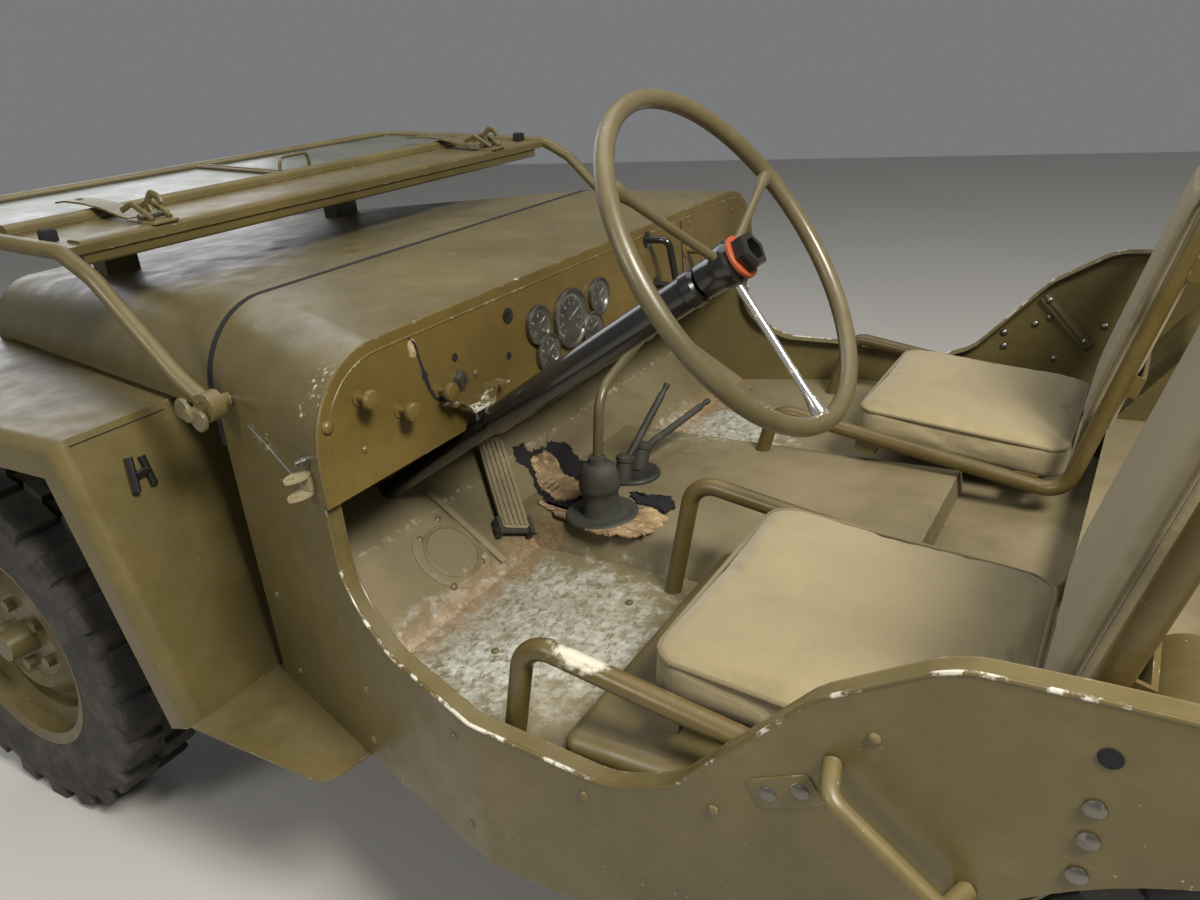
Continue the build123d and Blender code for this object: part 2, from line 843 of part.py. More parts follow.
# Grille, a stamped plate with side flanges, nine slots and two lamp openings
def grille_outline(plane, skin):
    """Sketch the grille's outline, inset by skin."""
    top = grille_top - skin
    half = grille_half - skin
    foot = grille_bottom + skin
    with BuildSketch(plane) as outline:
        with BuildLine():
            FilletPolyline(
                (-grille_foot_half + skin, foot),
                (-half, grille_bottom + 110),
                (-half, top),
                (half, top),
                (half, grille_bottom + 110),
                (grille_foot_half - skin, foot),
                radius=nose.corner - sheet - seat_gap - skin,
            )
            Line((grille_foot_half - skin, foot), (-grille_foot_half + skin, foot))
        make_face()
    return outline.sketch


with BuildPart() as grille:
    extrude(grille_outline(cross_plane(grille_x - grille_depth), 0), amount=grille_depth)
    extrude(
        grille_outline(cross_plane(grille_x - grille_depth - 1), sheet),
        amount=grille_depth + 1 - sheet,
        mode=Mode.SUBTRACT,
    )
    with BuildSketch(cross_plane(grille_x - grille_depth)):
        with Locations((0, (slot_bottom + slot_top) / 2)):
            with GridLocations(slot_pitch, 0, slot_count, 1):
                SlotOverall(slot_top - slot_bottom, slot_width, rotation=90)
        with Locations((headlamp_y, headlamp_z), (-headlamp_y, headlamp_z)):
            Circle(headlamp_radius + 1)
    extrude(amount=grille_depth, mode=Mode.SUBTRACT)
save(grille.part, "grille")

# Headlamps behind the grille: a domed lens in a bezel whose flange seats on the grille's back
lens_rise = 14.0
with BuildPart() as lamp:
    lamp_origin = (grille_x, headlamp_y, headlamp_z)
    with BuildSketch(Plane(origin=lamp_origin, x_dir=(0, 0, 1), z_dir=(0, 1, 0))):
        with BuildLine():
            r = headlamp_radius
            flange_x = -sheet - seat_gap
            Polyline(
                (0, -6),
                (r * 0.35, -6 - lens_rise * 0.1),
                (r * 0.7, -6 - lens_rise * 0.45),
                (r * 0.93, -6 - lens_rise),
                (r * 0.93, -1),
                (r, -1),
                (r, flange_x),
                (r + 6, flange_x),
                (r + 6, -24),
                (r * 0.84, -78),
                (r * 0.45, -104),
                (0, -110),
                close=True,
            )
        make_face()
    revolve(axis=Axis(lamp_origin, (1, 0, 0)))
save(mirrored(lamp.part), "headlamps")

# Radiator on its cross plate, and the engine, gearbox and transfer case as one mass
with BuildPart() as radiator:
    radiator_x = grille_x - grille_depth - 62
    with Locations((radiator_x, 0, 774)):
        Box(50, 460, 352)
    with Locations((radiator_x, 0, grille_bottom + 6)):
        Box(60, 2 * rail_outer_y - 10, 12)
save(radiator.part, "radiator")

with BuildPart() as engine:
    with Locations((795, 0, 715)):
        Box(630, 300, 400)
    with Locations((740, 0, 475)):
        Box(380, 220, 100)
    with Locations((337, 0, 478)):
        Box(296, 220, 116)
    with Locations((20, -60, 465)):
        Box(358, 330, 126)
    with Locations((430, 0, 560)):
        Box(120, 220, 60)
    with Locations((820, 0, 522)):
        Box(60, 2 * (rail_outer_y - rail_wall - seat_gap), 20)
save(engine.part, "engine_and_gearbox")

# Front fenders: a top sheet, a rolled outer lip and an inner apron
def fender_slab(top_inset, depth, y_in, y_out, round_radius):
    """Slab that follows the fender line, from top_inset to depth under it, its outer upper edge rounded."""
    upper = inset(fender_line, top_inset)
    lower = inset(fender_line, depth)
    with BuildPart() as slab:
        with BuildSketch(side_plane(y_out)):
            with BuildLine():
                Polyline(*upper, *reversed(lower), close=True)
            make_face()
        extrude(amount=y_out - y_in)
        face = slab.faces().sort_by(Axis.Y)[-1]
        middles = [
            Vector((a[0] + b[0]) / 2, y_out, (a[1] + b[1]) / 2) for a, b in zip(upper, upper[1:])
        ]
        edges = [e for e in face.edges() if min((e.center() - m).length for m in middles) < 1]
        fillet(edges, round_radius)
    return slab.part


def make_fender():
    """Left fender: top and slope with a rolled edge, inner apron, and the step plate to the body."""
    skin = fender_slab(0, fender_lip, fender_inner, fender_outer, fender_round)
    hollow = fender_slab(sheet, fender_lip + 30, fender_inner - 5, fender_outer - sheet, fender_round - sheet)
    slope = (fender_bend_x - fender_foot_x) / (fender_top - fender_line[-1][1])
    apron_rear_x = fender_foot_x + slope * (apron_bottom - fender_line[-1][1]) + 1
    with BuildPart() as fender:
        add(skin)
        add(hollow, mode=Mode.SUBTRACT)
        with BuildSketch(side_plane(fender_inner + sheet)):
            with BuildLine():
                Polyline(
                    (grille_x - 5, apron_bottom),
                    (grille_x - 5, fender_top - 1),
                    (fender_bend_x + 1, fender_top - 1),
                    (apron_rear_x, apron_bottom),
                    close=True,
                )
            make_face()
        extrude(amount=sheet)
        with BuildSketch(Plane.XY.offset(rocker_z - seat_gap - sheet)):
            with BuildLine():
                side_y = shape_at(step_rear_x).half
                corner = FilletPolyline(
                    (fender_foot_x + 2, step_outer),
                    (step_rear_x + 14, step_outer),
                    (step_rear_x, side_y - 12),
                    radius=34,
                )
                Polyline(
                    corner @ 1,
                    (step_rear_x, side_y - 60),
                    (fender_foot_x - 20, shape_at(fender_foot_x - 30).half - 30),
                    (fender_foot_x + 2, fender_inner + 40),
                    corner @ 0,
                )
            make_face()
        extrude(amount=sheet)
    return fender.part


fender = make_fender()
save(fender, "left_fender")
save(mirror(fender, about=Plane.XZ), "right_fender")

# Windshield, folded forward: tube frame on its two pivot eyes, sheet lower panel, bars and glass
shield_plane = Plane(
    origin=(shield_bend_x, 0, shield_bend_z),
    x_dir=(math.cos(math.radians(shield_slope)), 0, math.sin(math.radians(shield_slope))),
    z_dir=(-math.sin(math.radians(shield_slope)), 0, math.cos(math.radians(shield_slope))),
)
shield_run = math.hypot(shield_top_x - shield_bend_x, shield_top_z - shield_bend_z)
pane_length = shield_run - pane_rear - pane_front
pane_mid = pane_rear + pane_length / 2
pane_width = shield_half - 34.0
with BuildPart() as shield:
    with BuildLine() as shield_line:
        FilletPolyline(
            (pivot_x, pivot_y, pivot_z),
            *[(x, pivot_y - 2, z) for x, z in shield_elbow],
            (shield_bend_x, pivot_y - 3, shield_bend_z),
            (shield_top_x, shield_half, shield_top_z),
            (shield_top_x, -shield_half, shield_top_z),
            (shield_bend_x, -pivot_y + 3, shield_bend_z),
            *[(x, -pivot_y + 2, z) for x, z in reversed(shield_elbow)],
            (pivot_x, -pivot_y, pivot_z),
            radius=70,
        )
    with BuildSketch(Plane(origin=shield_line.line @ 0, z_dir=shield_line.line % 0)):
        Circle(shield_tube)
    sweep()
    with BuildSketch(shield_plane.offset(-shield_bar / 2)):
        with Locations((pane_mid, 0)):
            Rectangle(pane_length + 2 * pane_front, 2 * shield_half)
        for side in (1, -1):
            with Locations((pane_mid, side * (pane_width / 2 + 4))):
                RectangleRounded(pane_length, pane_width, pane_corner, mode=Mode.SUBTRACT)
    extrude(amount=shield_bar)
    with BuildSketch(shield_plane.offset(-2)):
        with Locations(((panel_start + pane_rear) / 2, 0)):
            Rectangle(pane_rear - panel_start, 2 * shield_half)
    extrude(amount=4)
    with BuildSketch(shield_plane.offset(-11)):
        with Locations((panel_start + 14, 0)):
            Rectangle(28, 2 * shield_half)
    extrude(amount=20)
    for side in (1, -1):
        eye = Plane(origin=(pivot_x, side * (pivot_y - 11), pivot_z), x_dir=(1, 0, 0), z_dir=(0, side, 0))
        with BuildSketch(eye):
            Circle(pivot_radius + 11)
        extrude(amount=22)
        with BuildSketch(eye.offset(-6)):
            Circle(pivot_radius + pivot_gap)
        extrude(amount=34, mode=Mode.SUBTRACT)
save(shield.part, "windshield_frame")
with BuildPart() as glass:
    with BuildSketch(shield_plane.offset(-glass_thickness / 2)):
        for side in (1, -1):
            with Locations((pane_mid, side * (pane_width / 2 + 4))):
                RectangleRounded(pane_length - 2 * seat_gap, pane_width - 2 * seat_gap, pane_corner)
    extrude(amount=glass_thickness)
save(glass.part, "windshield_glass")

# Steering column with its clamp plate, lower tube and gear box on the frame, and the wheel
with BuildPart() as column:
    add(column_rod(column_shaft, 8, 70))
    add(column_rod(column_radius, 56, column_jacket))
    add(column_rod(column_lower_radius, column_jacket - 1, column_length))
    clamp_z = wheel_hub_z - (dash_x - wheel_hub_x) * math.tan(math.radians(column_tilt))
    with Locations((dash_x - sheet - seat_gap - sheet / 2, wheel_hub_y, clamp_z + 32)):
        Box(sheet, 56, 76)
    gear_top = 690.0
    gear_foot = rail_top(420) + seat_gap
    with Locations((420, spring_y + 36, (gear_top + gear_foot) / 2)):
        Box(70, 60, gear_top - gear_foot)
save(column.part, "steering_column")
with BuildPart() as steering_wheel:
    rim_plane = Plane(
        origin=hub + Vector(0, steering_wheel_radius, 0),
        x_dir=(0, 1, 0),
        z_dir=axis_dir.cross(Vector(0, 1, 0)),
    )
    with BuildSketch(rim_plane):
        RegularPolygon(steering_rim_radius, 12)
    revolve(axis=Axis(hub, axis_dir))
    with BuildSketch(column_plane.offset(-50)):
        Circle(24)
    extrude(amount=58)
    for angle in (82, 202, 322):
        a = math.radians(angle)
        tip = column_plane.from_local_coords(
            (steering_wheel_radius * math.cos(a), steering_wheel_radius * math.sin(a), 0)
        )
        root = column_plane.from_local_coords((0, 0, -18))
        spoke = Plane(origin=root, z_dir=(tip - root).normalized())
        with BuildSketch(spoke):
            Circle(6)
        extrude(amount=(tip - root).length)
    with BuildSketch(column_plane.offset(-52)):
        Circle(column_shaft + spindle_gap)
    extrude(amount=48, mode=Mode.SUBTRACT)
save(steering_wheel.part, "steering_wheel")


# Front seats
def seat_plane(seat):
    """Plane on the cushion's underside at its front edge: local x runs back, local y to the left."""
    slope = math.radians(seat_slope)
    front_z = 750.0 - seat.drop - cushion_thickness
    return Plane(
        origin=(seat.front_x, seat.centre_y, front_z),
        x_dir=(-math.cos(slope), 0, -math.sin(slope)),
        z_dir=(-math.sin(slope), 0, math.cos(slope)),
    )


def back_plane(seat):
    """Plane on the front of the seat back at its lower edge: local y runs up along the back."""
    tilt = math.radians(back_tilt)
    front_x = seat_rear_x + seat.shift - back_foot * math.tan(tilt) + back_thickness / 2 / math.cos(tilt)
    return Plane(
        origin=(front_x, seat.centre_y, seat_rear_z - seat.drop + back_foot),
        x_dir=(0, 1, 0),
        z_dir=(math.cos(tilt), 0, math.sin(tilt)),
    )


def seat_frame(seat):
    """Tubular seat frame: each side tube rises from the floor, runs back and turns up into the back."""
    foot_z = floor_z + seat_gap
    rise = back_foot + back_height
    top_x = seat_rear_x - math.tan(math.radians(back_tilt)) * rise
    top_z = seat_rear_z - seat.drop + rise
    side_line = [
        (seat_foot_x, foot_z),
        (seat_corner_x, seat_corner_z - seat.drop),
        (seat_rear_x, seat_rear_z - seat.drop),
        (top_x, top_z),
    ]
    near = [(x + seat.shift, seat.rail_outer, z) for x, z in side_line]
    far = [(x + seat.shift, seat.rail_inner, z) for x, z in reversed(side_line)]
    span = abs(seat.rail_outer - seat.rail_inner)
    middle = (seat.rail_outer + seat.rail_inner) / 2
    with BuildPart() as frame:
        with BuildLine() as path:
            FilletPolyline(*near, *far, radius=40)
        with BuildSketch(Plane(origin=path.line @ 0, z_dir=path.line % 0)):
            Circle(seat_tube)
        sweep()
        base = seat_plane(seat)
        for back in (45, seat_length - 60):
            with BuildSketch(base.offset(-seat_gap)):
                with Locations((back, -(middle - seat.centre_y))):
                    Rectangle(36, span)
            extrude(amount=-4)
            for edge in (-1, 1):
                with BuildSketch(base.offset(-seat_gap - 4)):
                    with Locations((back, -(middle - seat.centre_y) + edge * (span / 2 - 2))):
                        Rectangle(36, 4)
                extrude(amount=46 if back < 100 else 30)
        for down in (0.3, 0.75):
            with BuildSketch(back_plane(seat).offset(-back_thickness - seat_gap)):
                with Locations((middle - seat.centre_y, down * back_height)):
                    Rectangle(span, 34)
            extrude(amount=-5)
            for edge in (-1, 1):
                with BuildSketch(back_plane(seat).offset(-back_thickness - seat_gap - 5)):
                    with Locations((middle - seat.centre_y + edge * (span / 2 - 2.5), down * back_height)):
                        Rectangle(5, 34)
                extrude(amount=30)
        with BuildPart(mode=Mode.SUBTRACT):
            with Locations((seat_foot_x + seat.shift, middle, foot_z - 20)):
                Box(120, span + 80, 40)
            with Locations((seat_foot_x + seat.shift, 0, tunnel_top + seat_gap - 40)):
                Box(160, 2 * tunnel_shoulder, 80)
    return frame.part


save(Compound(children=[seat_frame(seat) for seat in seats]), "front_seat_frames")

cushions = []
backs = []
for seat in seats:
    with BuildPart() as cushion:
        with BuildSketch(seat_plane(seat)):
            with Locations((seat_length / 2, 0)):
                RectangleRounded(seat_length, 2 * seat_half, 40)
        extrude(amount=cushion_thickness)
    cushions.append(cushion.part)
    with BuildPart() as seat_back:
        with BuildSketch(back_plane(seat)):
            with Locations((0, back_height / 2)):
                RectangleRounded(2 * seat_half - 30, back_height, 45)
        extrude(amount=-back_thickness)
    backs.append(seat_back.part)
save(Compound(children=cushions), "front_seat_cushions")
save(Compound(children=backs), "front_seat_backs")

# Rear bench
bench_y = 430.0
bench_tube_z = 742.0
bench_strap = 4.0
cushion_foot = bench_tube_z + seat_tube
with BuildPart() as rear_cushion:
    with Locations((-1090, 0, cushion_foot + seat_gap + 45)):
        Box(360, 820, 90)
with BuildPart() as rear_back:
    with Locations(Location((-1318, 0, 972), (0, -14, 0))):
        Box(60, 800, 190)
save(Compound(children=[rear_cushion.part, rear_back.part]), "rear_seat_pads")
with BuildPart() as rear_frame:
    with BuildLine() as bench_line:
        side_line = [(-930, rear_floor_z + seat_gap), (-930, bench_tube_z), (-1300, bench_tube_z), (-1390, 1080)]
        near = [(x, bench_y, z) for x, z in side_line]
        far = [(x, -bench_y, z) for x, z in reversed(side_line)]
        FilletPolyline(*near, *far, radius=45)
    with BuildSketch(Plane(origin=bench_line.line @ 0, z_dir=bench_line.line % 0)):
        Circle(seat_tube)
    sweep()
    for x in (-960, -1220):
        with Locations((x, 0, cushion_foot - bench_strap / 2)):
            Box(36, 2 * bench_y, bench_strap)
    with Locations(Location((-1318, 0, 972), (0, -14, 0)) * Location((-30 - seat_gap - 3, 0, 0))):
        Box(6, 2 * bench_y, 50)
    with Locations((-1290, bench_y, (rear_floor_z + bench_tube_z) / 2), (-1290, -bench_y, (rear_floor_z + bench_tube_z) / 2)):
        Cylinder(seat_tube, bench_tube_z - rear_floor_z - 2 * seat_gap)
save(rear_frame.part, "rear_seat_frame")

# Fuel tank under the driver's seat
with BuildPart() as tank:
    with Locations((-375, 488, floor_z + seat_gap + 45)):
        Box(370, 452, 90)
    fillet(tank.edges(), 18)
save(tank.part, "fuel_tank")

# Gear lever and the two transfer levers, each with its boot on the tunnel
Lever = namedtuple("Lever", "path rod knob boot")
levers = []
for lever in (
    Lever(path=[(74, 174), (74, 150, 808), (80, -30, 855)], rod=8, knob=16, boot=46),
    Lever(path=[(98, 54), (60, -62, 751)], rod=7, knob=12, boot=30),
    Lever(path=[(98, -24), (45, -200, 671)], rod=7, knob=12, boot=30),
):
    foot_x, foot_y = lever.path[0]
    with BuildPart() as stick:
        with Locations((foot_x, foot_y, tunnel_top + seat_gap + 24)):
            Cone(lever.boot, lever.boot * 0.5, 48)
        with BuildLine() as rod_line:
            points = [(foot_x, foot_y, tunnel_top + 30), *lever.path[1:]]
            if len(points) > 2:
                FilletPolyline(*points, radius=60)
            else:
                Line(*points)
        with BuildSketch(Plane(origin=rod_line.line @ 0, z_dir=rod_line.line % 0)):
            Circle(lever.rod)
        sweep()
        add(ball(lever.knob, Vector(*lever.path[-1]), sides=8))
    levers.append(stick.part)
save(Compound(children=levers), "gear_levers")

# Shafts from the transfer case to the two axles
shafts = []
for start_x, axle_x, toward in ((199.0, front_axle_x, 1), (-159.0, rear_axle_x, -1)):
    start = Vector(start_x + toward * 12, diff_y, 426)
    end = Vector(axle_x - toward * 198.0, diff_y, axle_z)
    with BuildPart() as shaft:
        with BuildSketch(Plane(origin=start, z_dir=(end - start).normalized())):
            Circle(24)
        extrude(amount=(end - start).length)
        for x, z, width in ((start_x + toward * (8 + seat_gap), 426, 16), (axle_x - toward * (190 + 8 + seat_gap), axle_z, 16)):
            with Locations(Location((x, diff_y, z), (0, 90, 0))):
                Cylinder(44, width)
    shafts.append(shaft.part)
save(Compound(children=shafts), "drive_shafts")

# Grab handles on the rear quarters and the mirror bracket's two ears on the left side of the cowl
with BuildPart() as handle:
    with BuildLine() as grip:
        FilletPolyline(
            (-506, tub_half + seat_gap, 742),
            (-514, 780, 734),
            (-610, 780, 654),
            (-622, tub_half + seat_gap, 650),
            radius=14,
        )
    with BuildSketch(Plane(origin=grip.line @ 0, z_dir=grip.line % 0)):
        Circle(9)
    sweep()
    with BuildPart(mode=Mode.SUBTRACT):
        with Locations((-560, tub_half + seat_gap - 30, 700)):
            Box(300, 60, 300)
save(mirrored(handle.part), "body_handles")
ear_x = 184.0
ear_reach = 42.0
with BuildPart() as bracket:
    wall_y = shape_at(ear_x).half
    for z in (847.0, 871.0):
        with BuildSketch(Plane.XY.offset(z - 2)):
            with Locations((ear_x, wall_y + ear_reach / 2 - 4)):
                Rectangle(24, ear_reach)
            with Locations((ear_x, wall_y + ear_reach - 14)):
                Circle(5, mode=Mode.SUBTRACT)
        extrude(amount=4)
    with Locations((ear_x, wall_y + 3, 859)):
        Box(24, 14, 24)
    add(arch_solid(dash_x + 1, seam_x - 1, -seat_gap, 800), mode=Mode.SUBTRACT)
save(bracket.part, "mirror_bracket")

# Spare wheel on the rear panel, its carrier and the rear bumperettes
spare_x = tub_rear_x - spare_gap - tyre_width / 2
spare_at = Location((spare_x, spare_y, spare_z), (0, 0, 90))
save(tyre.moved(spare_at), "spare_tyre")
save(make_wheel(0, 0, 0, 1).moved(spare_at), "spare_wheel")
with BuildPart() as carrier:
    drum_face = spare_x - disc_offset + drum_width
    with Locations((tub_rear_x - seat_gap - 3, spare_y, quarter_top - 60)):
        Box(6, 300, 90)
    with BuildSketch(Plane(origin=(tub_rear_x - seat_gap, spare_y, spare_z), z_dir=(-1, 0, 0))):
        Circle(48)
    extrude(amount=tub_rear_x - seat_gap - drum_face - seat_gap)
    with BuildSketch(Plane(origin=(drum_face + 2, spare_y, spare_z), z_dir=(-1, 0, 0))):
        Circle(spindle_radius - 0.5)
    extrude(amount=60)
save(carrier.part, "spare_carrier")

with BuildPart() as bumperette:
    with Locations((-length / 2 + 30, 480, 448)):
        Box(60, 240, 104)
    with Locations((-length / 2 + 160, rail_outer_y + seat_gap + 30, 489)):
        Box(220, 60, 22)
save(mirrored(bumperette.part), "rear_bumperettes")
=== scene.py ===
"""Looks of the light open four-wheel-drive military car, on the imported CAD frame.

Metres. +X is forward, +Y the driver's (left) side, +Z up, and the ground is at 0.
"""

import bpy
import bmesh
import math
import numpy as np
from mathutils import Matrix, Vector


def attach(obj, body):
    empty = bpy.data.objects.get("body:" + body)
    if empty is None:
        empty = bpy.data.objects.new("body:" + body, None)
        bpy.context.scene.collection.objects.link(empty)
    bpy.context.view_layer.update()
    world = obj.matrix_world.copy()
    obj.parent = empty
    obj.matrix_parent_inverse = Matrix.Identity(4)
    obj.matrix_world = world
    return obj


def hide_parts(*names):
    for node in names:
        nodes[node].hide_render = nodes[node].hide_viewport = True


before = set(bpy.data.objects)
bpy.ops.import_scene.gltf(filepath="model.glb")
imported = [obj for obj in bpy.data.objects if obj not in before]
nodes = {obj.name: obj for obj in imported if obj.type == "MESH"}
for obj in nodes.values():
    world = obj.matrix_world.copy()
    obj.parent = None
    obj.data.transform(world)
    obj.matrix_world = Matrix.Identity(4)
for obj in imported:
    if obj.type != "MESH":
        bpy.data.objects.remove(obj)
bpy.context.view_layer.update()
SIDES = ((1, "left"), (-1, "right"))

# Surfaces


def unit(v):
    """Each vector divided by its length."""
    v = np.asarray(v, float)
    return v / np.linalg.norm(v, axis=-1, keepdims=True)


def across(axis):
    """Two unit vectors at right angles to an axis and to each other."""
    axis = unit(axis)
    helper = np.array([0.0, 0, 1]) if abs(axis[2]) < 0.9 else np.array([1.0, 0, 0])
    first = unit(np.cross(helper, axis))
    return first, np.cross(axis, first)


def bend(points, radius, steps=8):
    """A path of straight runs with round corners: at each corner an arc swings evenly from run to run."""
    p = np.asarray(points, float)
    run = unit(p[1:] - p[:-1])
    path = [p[:1]]
    for corner, a, b in zip(p[1:-1], run[:-1], run[1:]):
        turn = math.acos(np.clip(a @ b, -1, 1))
        centre = corner + unit(b - a) * radius / math.cos(turn / 2)
        start = corner - a * radius * math.tan(turn / 2) - centre
        end = corner + b * radius * math.tan(turn / 2) - centre
        s = np.linspace(0, 1, steps + 1)[:, None]
        path.append(centre + (np.sin((1 - s) * turn) * start + np.sin(s * turn) * end) / math.sin(turn))
    return np.concatenate(path + [p[-1:]])


def even(path, step):
    """The same path with its points an even step apart, by straight-line interpolation along its length."""
    gone = np.concatenate([[0], np.cumsum(np.linalg.norm(np.diff(path, axis=0), axis=1))])
    at = np.linspace(0, gone[-1], max(2, int(gone[-1] / step) + 1))
    return np.stack([np.interp(at, gone, path[:, k]) for k in range(3)], 1)


def rounded(points, radius, step, steps=8):
    """A path with round corners and evenly spaced points."""
    return even(bend(points, radius, steps), step)


def tube(path, radius, sides=12, up=(0, 0, 1), flat=1.0, loop=False):
    """Round tube: a circle of the given radius, squeezed by flat along up, carried square to the path."""
    p = np.asarray(path, float)
    if loop:
        t = unit(np.roll(p, -1, 0) - np.roll(p, 1, 0))
    else:
        t = unit(np.gradient(p, axis=0))
    n = unit(np.cross(t, np.asarray(up, float)))
    b = np.cross(n, t)
    a = np.linspace(0, 2 * math.pi, sides, endpoint=False)
    r = np.broadcast_to(np.asarray(radius, float), len(p))[:, None, None]
    ring = np.cos(a)[None, :, None] * n[:, None] + flat * np.sin(a)[None, :, None] * b[:, None]
    return p[:, None] + r * ring


def lathe(profile, origin, axis, sides=32):
    """Turned form: each profile point (way along the axis, radius), in mm, swept in a circle round it."""
    profile = np.asarray(profile, float) / 1000
    u, v = across(axis)
    a = np.linspace(0, 2 * math.pi, sides, endpoint=False)
    ring = np.cos(a)[:, None] * u + np.sin(a)[:, None] * v
    return np.asarray(origin, float) + profile[:, :1, None] * unit(axis) + profile[:, 1:, None] * ring


def turned(profile, centres, axis, sides=12):
    """The same turned form at several centres, as one array of grids."""
    form = lathe(profile, (0, 0, 0), axis, sides)
    return form[None] + np.asarray(centres, float)[:, None, None, :]


def plate(outline, origin, u, v, low, high, soft=0.0):
    """Flat plate: an outline in the plane of u and v, from low to high, its top edge drawn in by soft."""
    o = np.asarray(outline, float)
    u, v = unit(u), unit(v)
    w = np.cross(u, v)
    middle = o.mean(0)
    away = unit(o - middle)
    rows = [
        (0, low), (0, high - soft), (soft * 0.35, high - soft * 0.3), (soft, high)
    ] if soft else [(0, low), (0, high)]
    levels = [(o - away * back)[:, :1] * u + (o - away * back)[:, 1:] * v + w * up for back, up in rows]
    return np.asarray(origin, float) + np.stack(levels)


def bars(starts, ends, half, thick):
    """Straight flat bars from starts to ends, as wide as twice the vector half and as thick as thick."""
    a, b = np.asarray(starts, float), np.asarray(ends, float)
    half = np.broadcast_to(half, a.shape)
    thick = np.broadcast_to(thick, a.shape)
    corner = [half, half + thick, -half + thick, -half]
    return np.stack([np.stack([a + c for c in corner], 1), np.stack([b + c for c in corner], 1)], 1)


def rounded_box(half_u, half_v, corner, count=64):
    """Outline of a rectangle with round corners: the corner circle moved out to the four corners in turn."""
    a = np.linspace(0, 2 * math.pi, count, endpoint=False)
    c, s = np.cos(a), np.sin(a)
    return np.stack(
        [np.sign(c) * (half_u - corner) + c * corner, np.sign(s) * (half_v - corner) + s * corner], 1
    )


def ragged(radius_u, radius_v, seed, count=40, rough=0.22):
    """A torn outline: an ellipse whose radius wanders by a few seeded sine waves."""
    rng = np.random.default_rng(seed)
    a = np.linspace(0, 2 * math.pi, count, endpoint=False)
    waves = sum(rng.normal() / k * np.sin(k * a + rng.uniform(0, 6.3)) for k in range(2, 12))
    r = 1 + rough * waves
    return np.stack([radius_u * r * np.cos(a), radius_v * r * np.sin(a)], 1)


class Piece:
    """One finished piece: grids of points gathered into one mesh, with faces that look outward."""

    def __init__(self, name, body, slot, *finishes):
        self.name, self.body, self.slot, self.finishes = name, body, slot, finishes
        self.points, self.faces, self.marks, self.count = [], [], [], 0

    def add(self, grid, finish=0, ends=True, loop=False):
        """Join each grid's rows with quads, round and round. loop joins the last row to the first one, and
        ends caps both ends of what isn't joined."""
        g = np.asarray(grid, float)
        g = g[None] if g.ndim == 3 else g
        copies, rows, columns, _ = g.shape
        index = np.arange(rows * columns).reshape(rows, columns)
        first, last = index[0], index[-1]
        index = np.concatenate([index, index[:, :1]], 1)
        if loop:
            index = np.concatenate([index, index[:1]], 0)
        quads = np.stack([index[:-1, :-1], index[:-1, 1:], index[1:, 1:], index[1:, :-1]], -1).reshape(-1, 4)
        start = self.count + np.arange(copies)[:, None, None] * rows * columns
        new = (quads + start).reshape(-1, 4).tolist()
        if ends and not loop:
            new += (np.stack([first[::-1], last]) + start).reshape(-1, columns).tolist()
        self.points.append(g.reshape(-1, 3))
        self.faces += new
        self.marks += [finish] * len(new)
        self.count += copies * rows * columns
        return self

    def turn(self, finish, profile, centres, axis, sides):
        """Add one turned form, open at its ends, at each of several centres."""
        return self.add(turned(profile, np.atleast_2d(centres), axis, sides), finish, ends=False)

    def tube(self, finish, *form):
        """Add one tube."""
        return self.add(tube(*form), finish)

    def plate(self, finish, *form):
        """Add one plate."""
        return self.add(plate(*form), finish)

    def bars(self, finish, *form):
        """Add a row of bars."""
        return self.add(bars(*form), finish)

    def done(self, *replaced, sharp=35):
        """Make the object: weld the poles, turn the faces outward, keep edges over the angle crisp."""
        mesh = bpy.data.meshes.new(self.name)
        mesh.from_pydata(np.concatenate(self.points), [], self.faces)
        mesh.polygons.foreach_set("material_index", self.marks)
        for finish in self.finishes:
            mesh.materials.append(finish)
        form = bmesh.new()
        form.from_mesh(mesh)
        bmesh.ops.remove_doubles(form, verts=form.verts, dist=1e-7)
        bmesh.ops.recalc_face_normals(form, faces=form.faces)
        form.to_mesh(mesh)
        form.free()
        mesh.shade_smooth()
        mesh.set_sharp_from_angle(angle=math.radians(sharp))
        piece = bpy.data.objects.new(self.name, mesh)
        bpy.context.scene.collection.objects.link(piece)
        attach(piece, self.body)
        if replaced:
            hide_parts(*replaced)
        return piece


def fitting(name, *finishes):
    """A piece fixed to the body."""
    return Piece(name, "vehicle_body", "olive_paint", *finishes)


# Materials


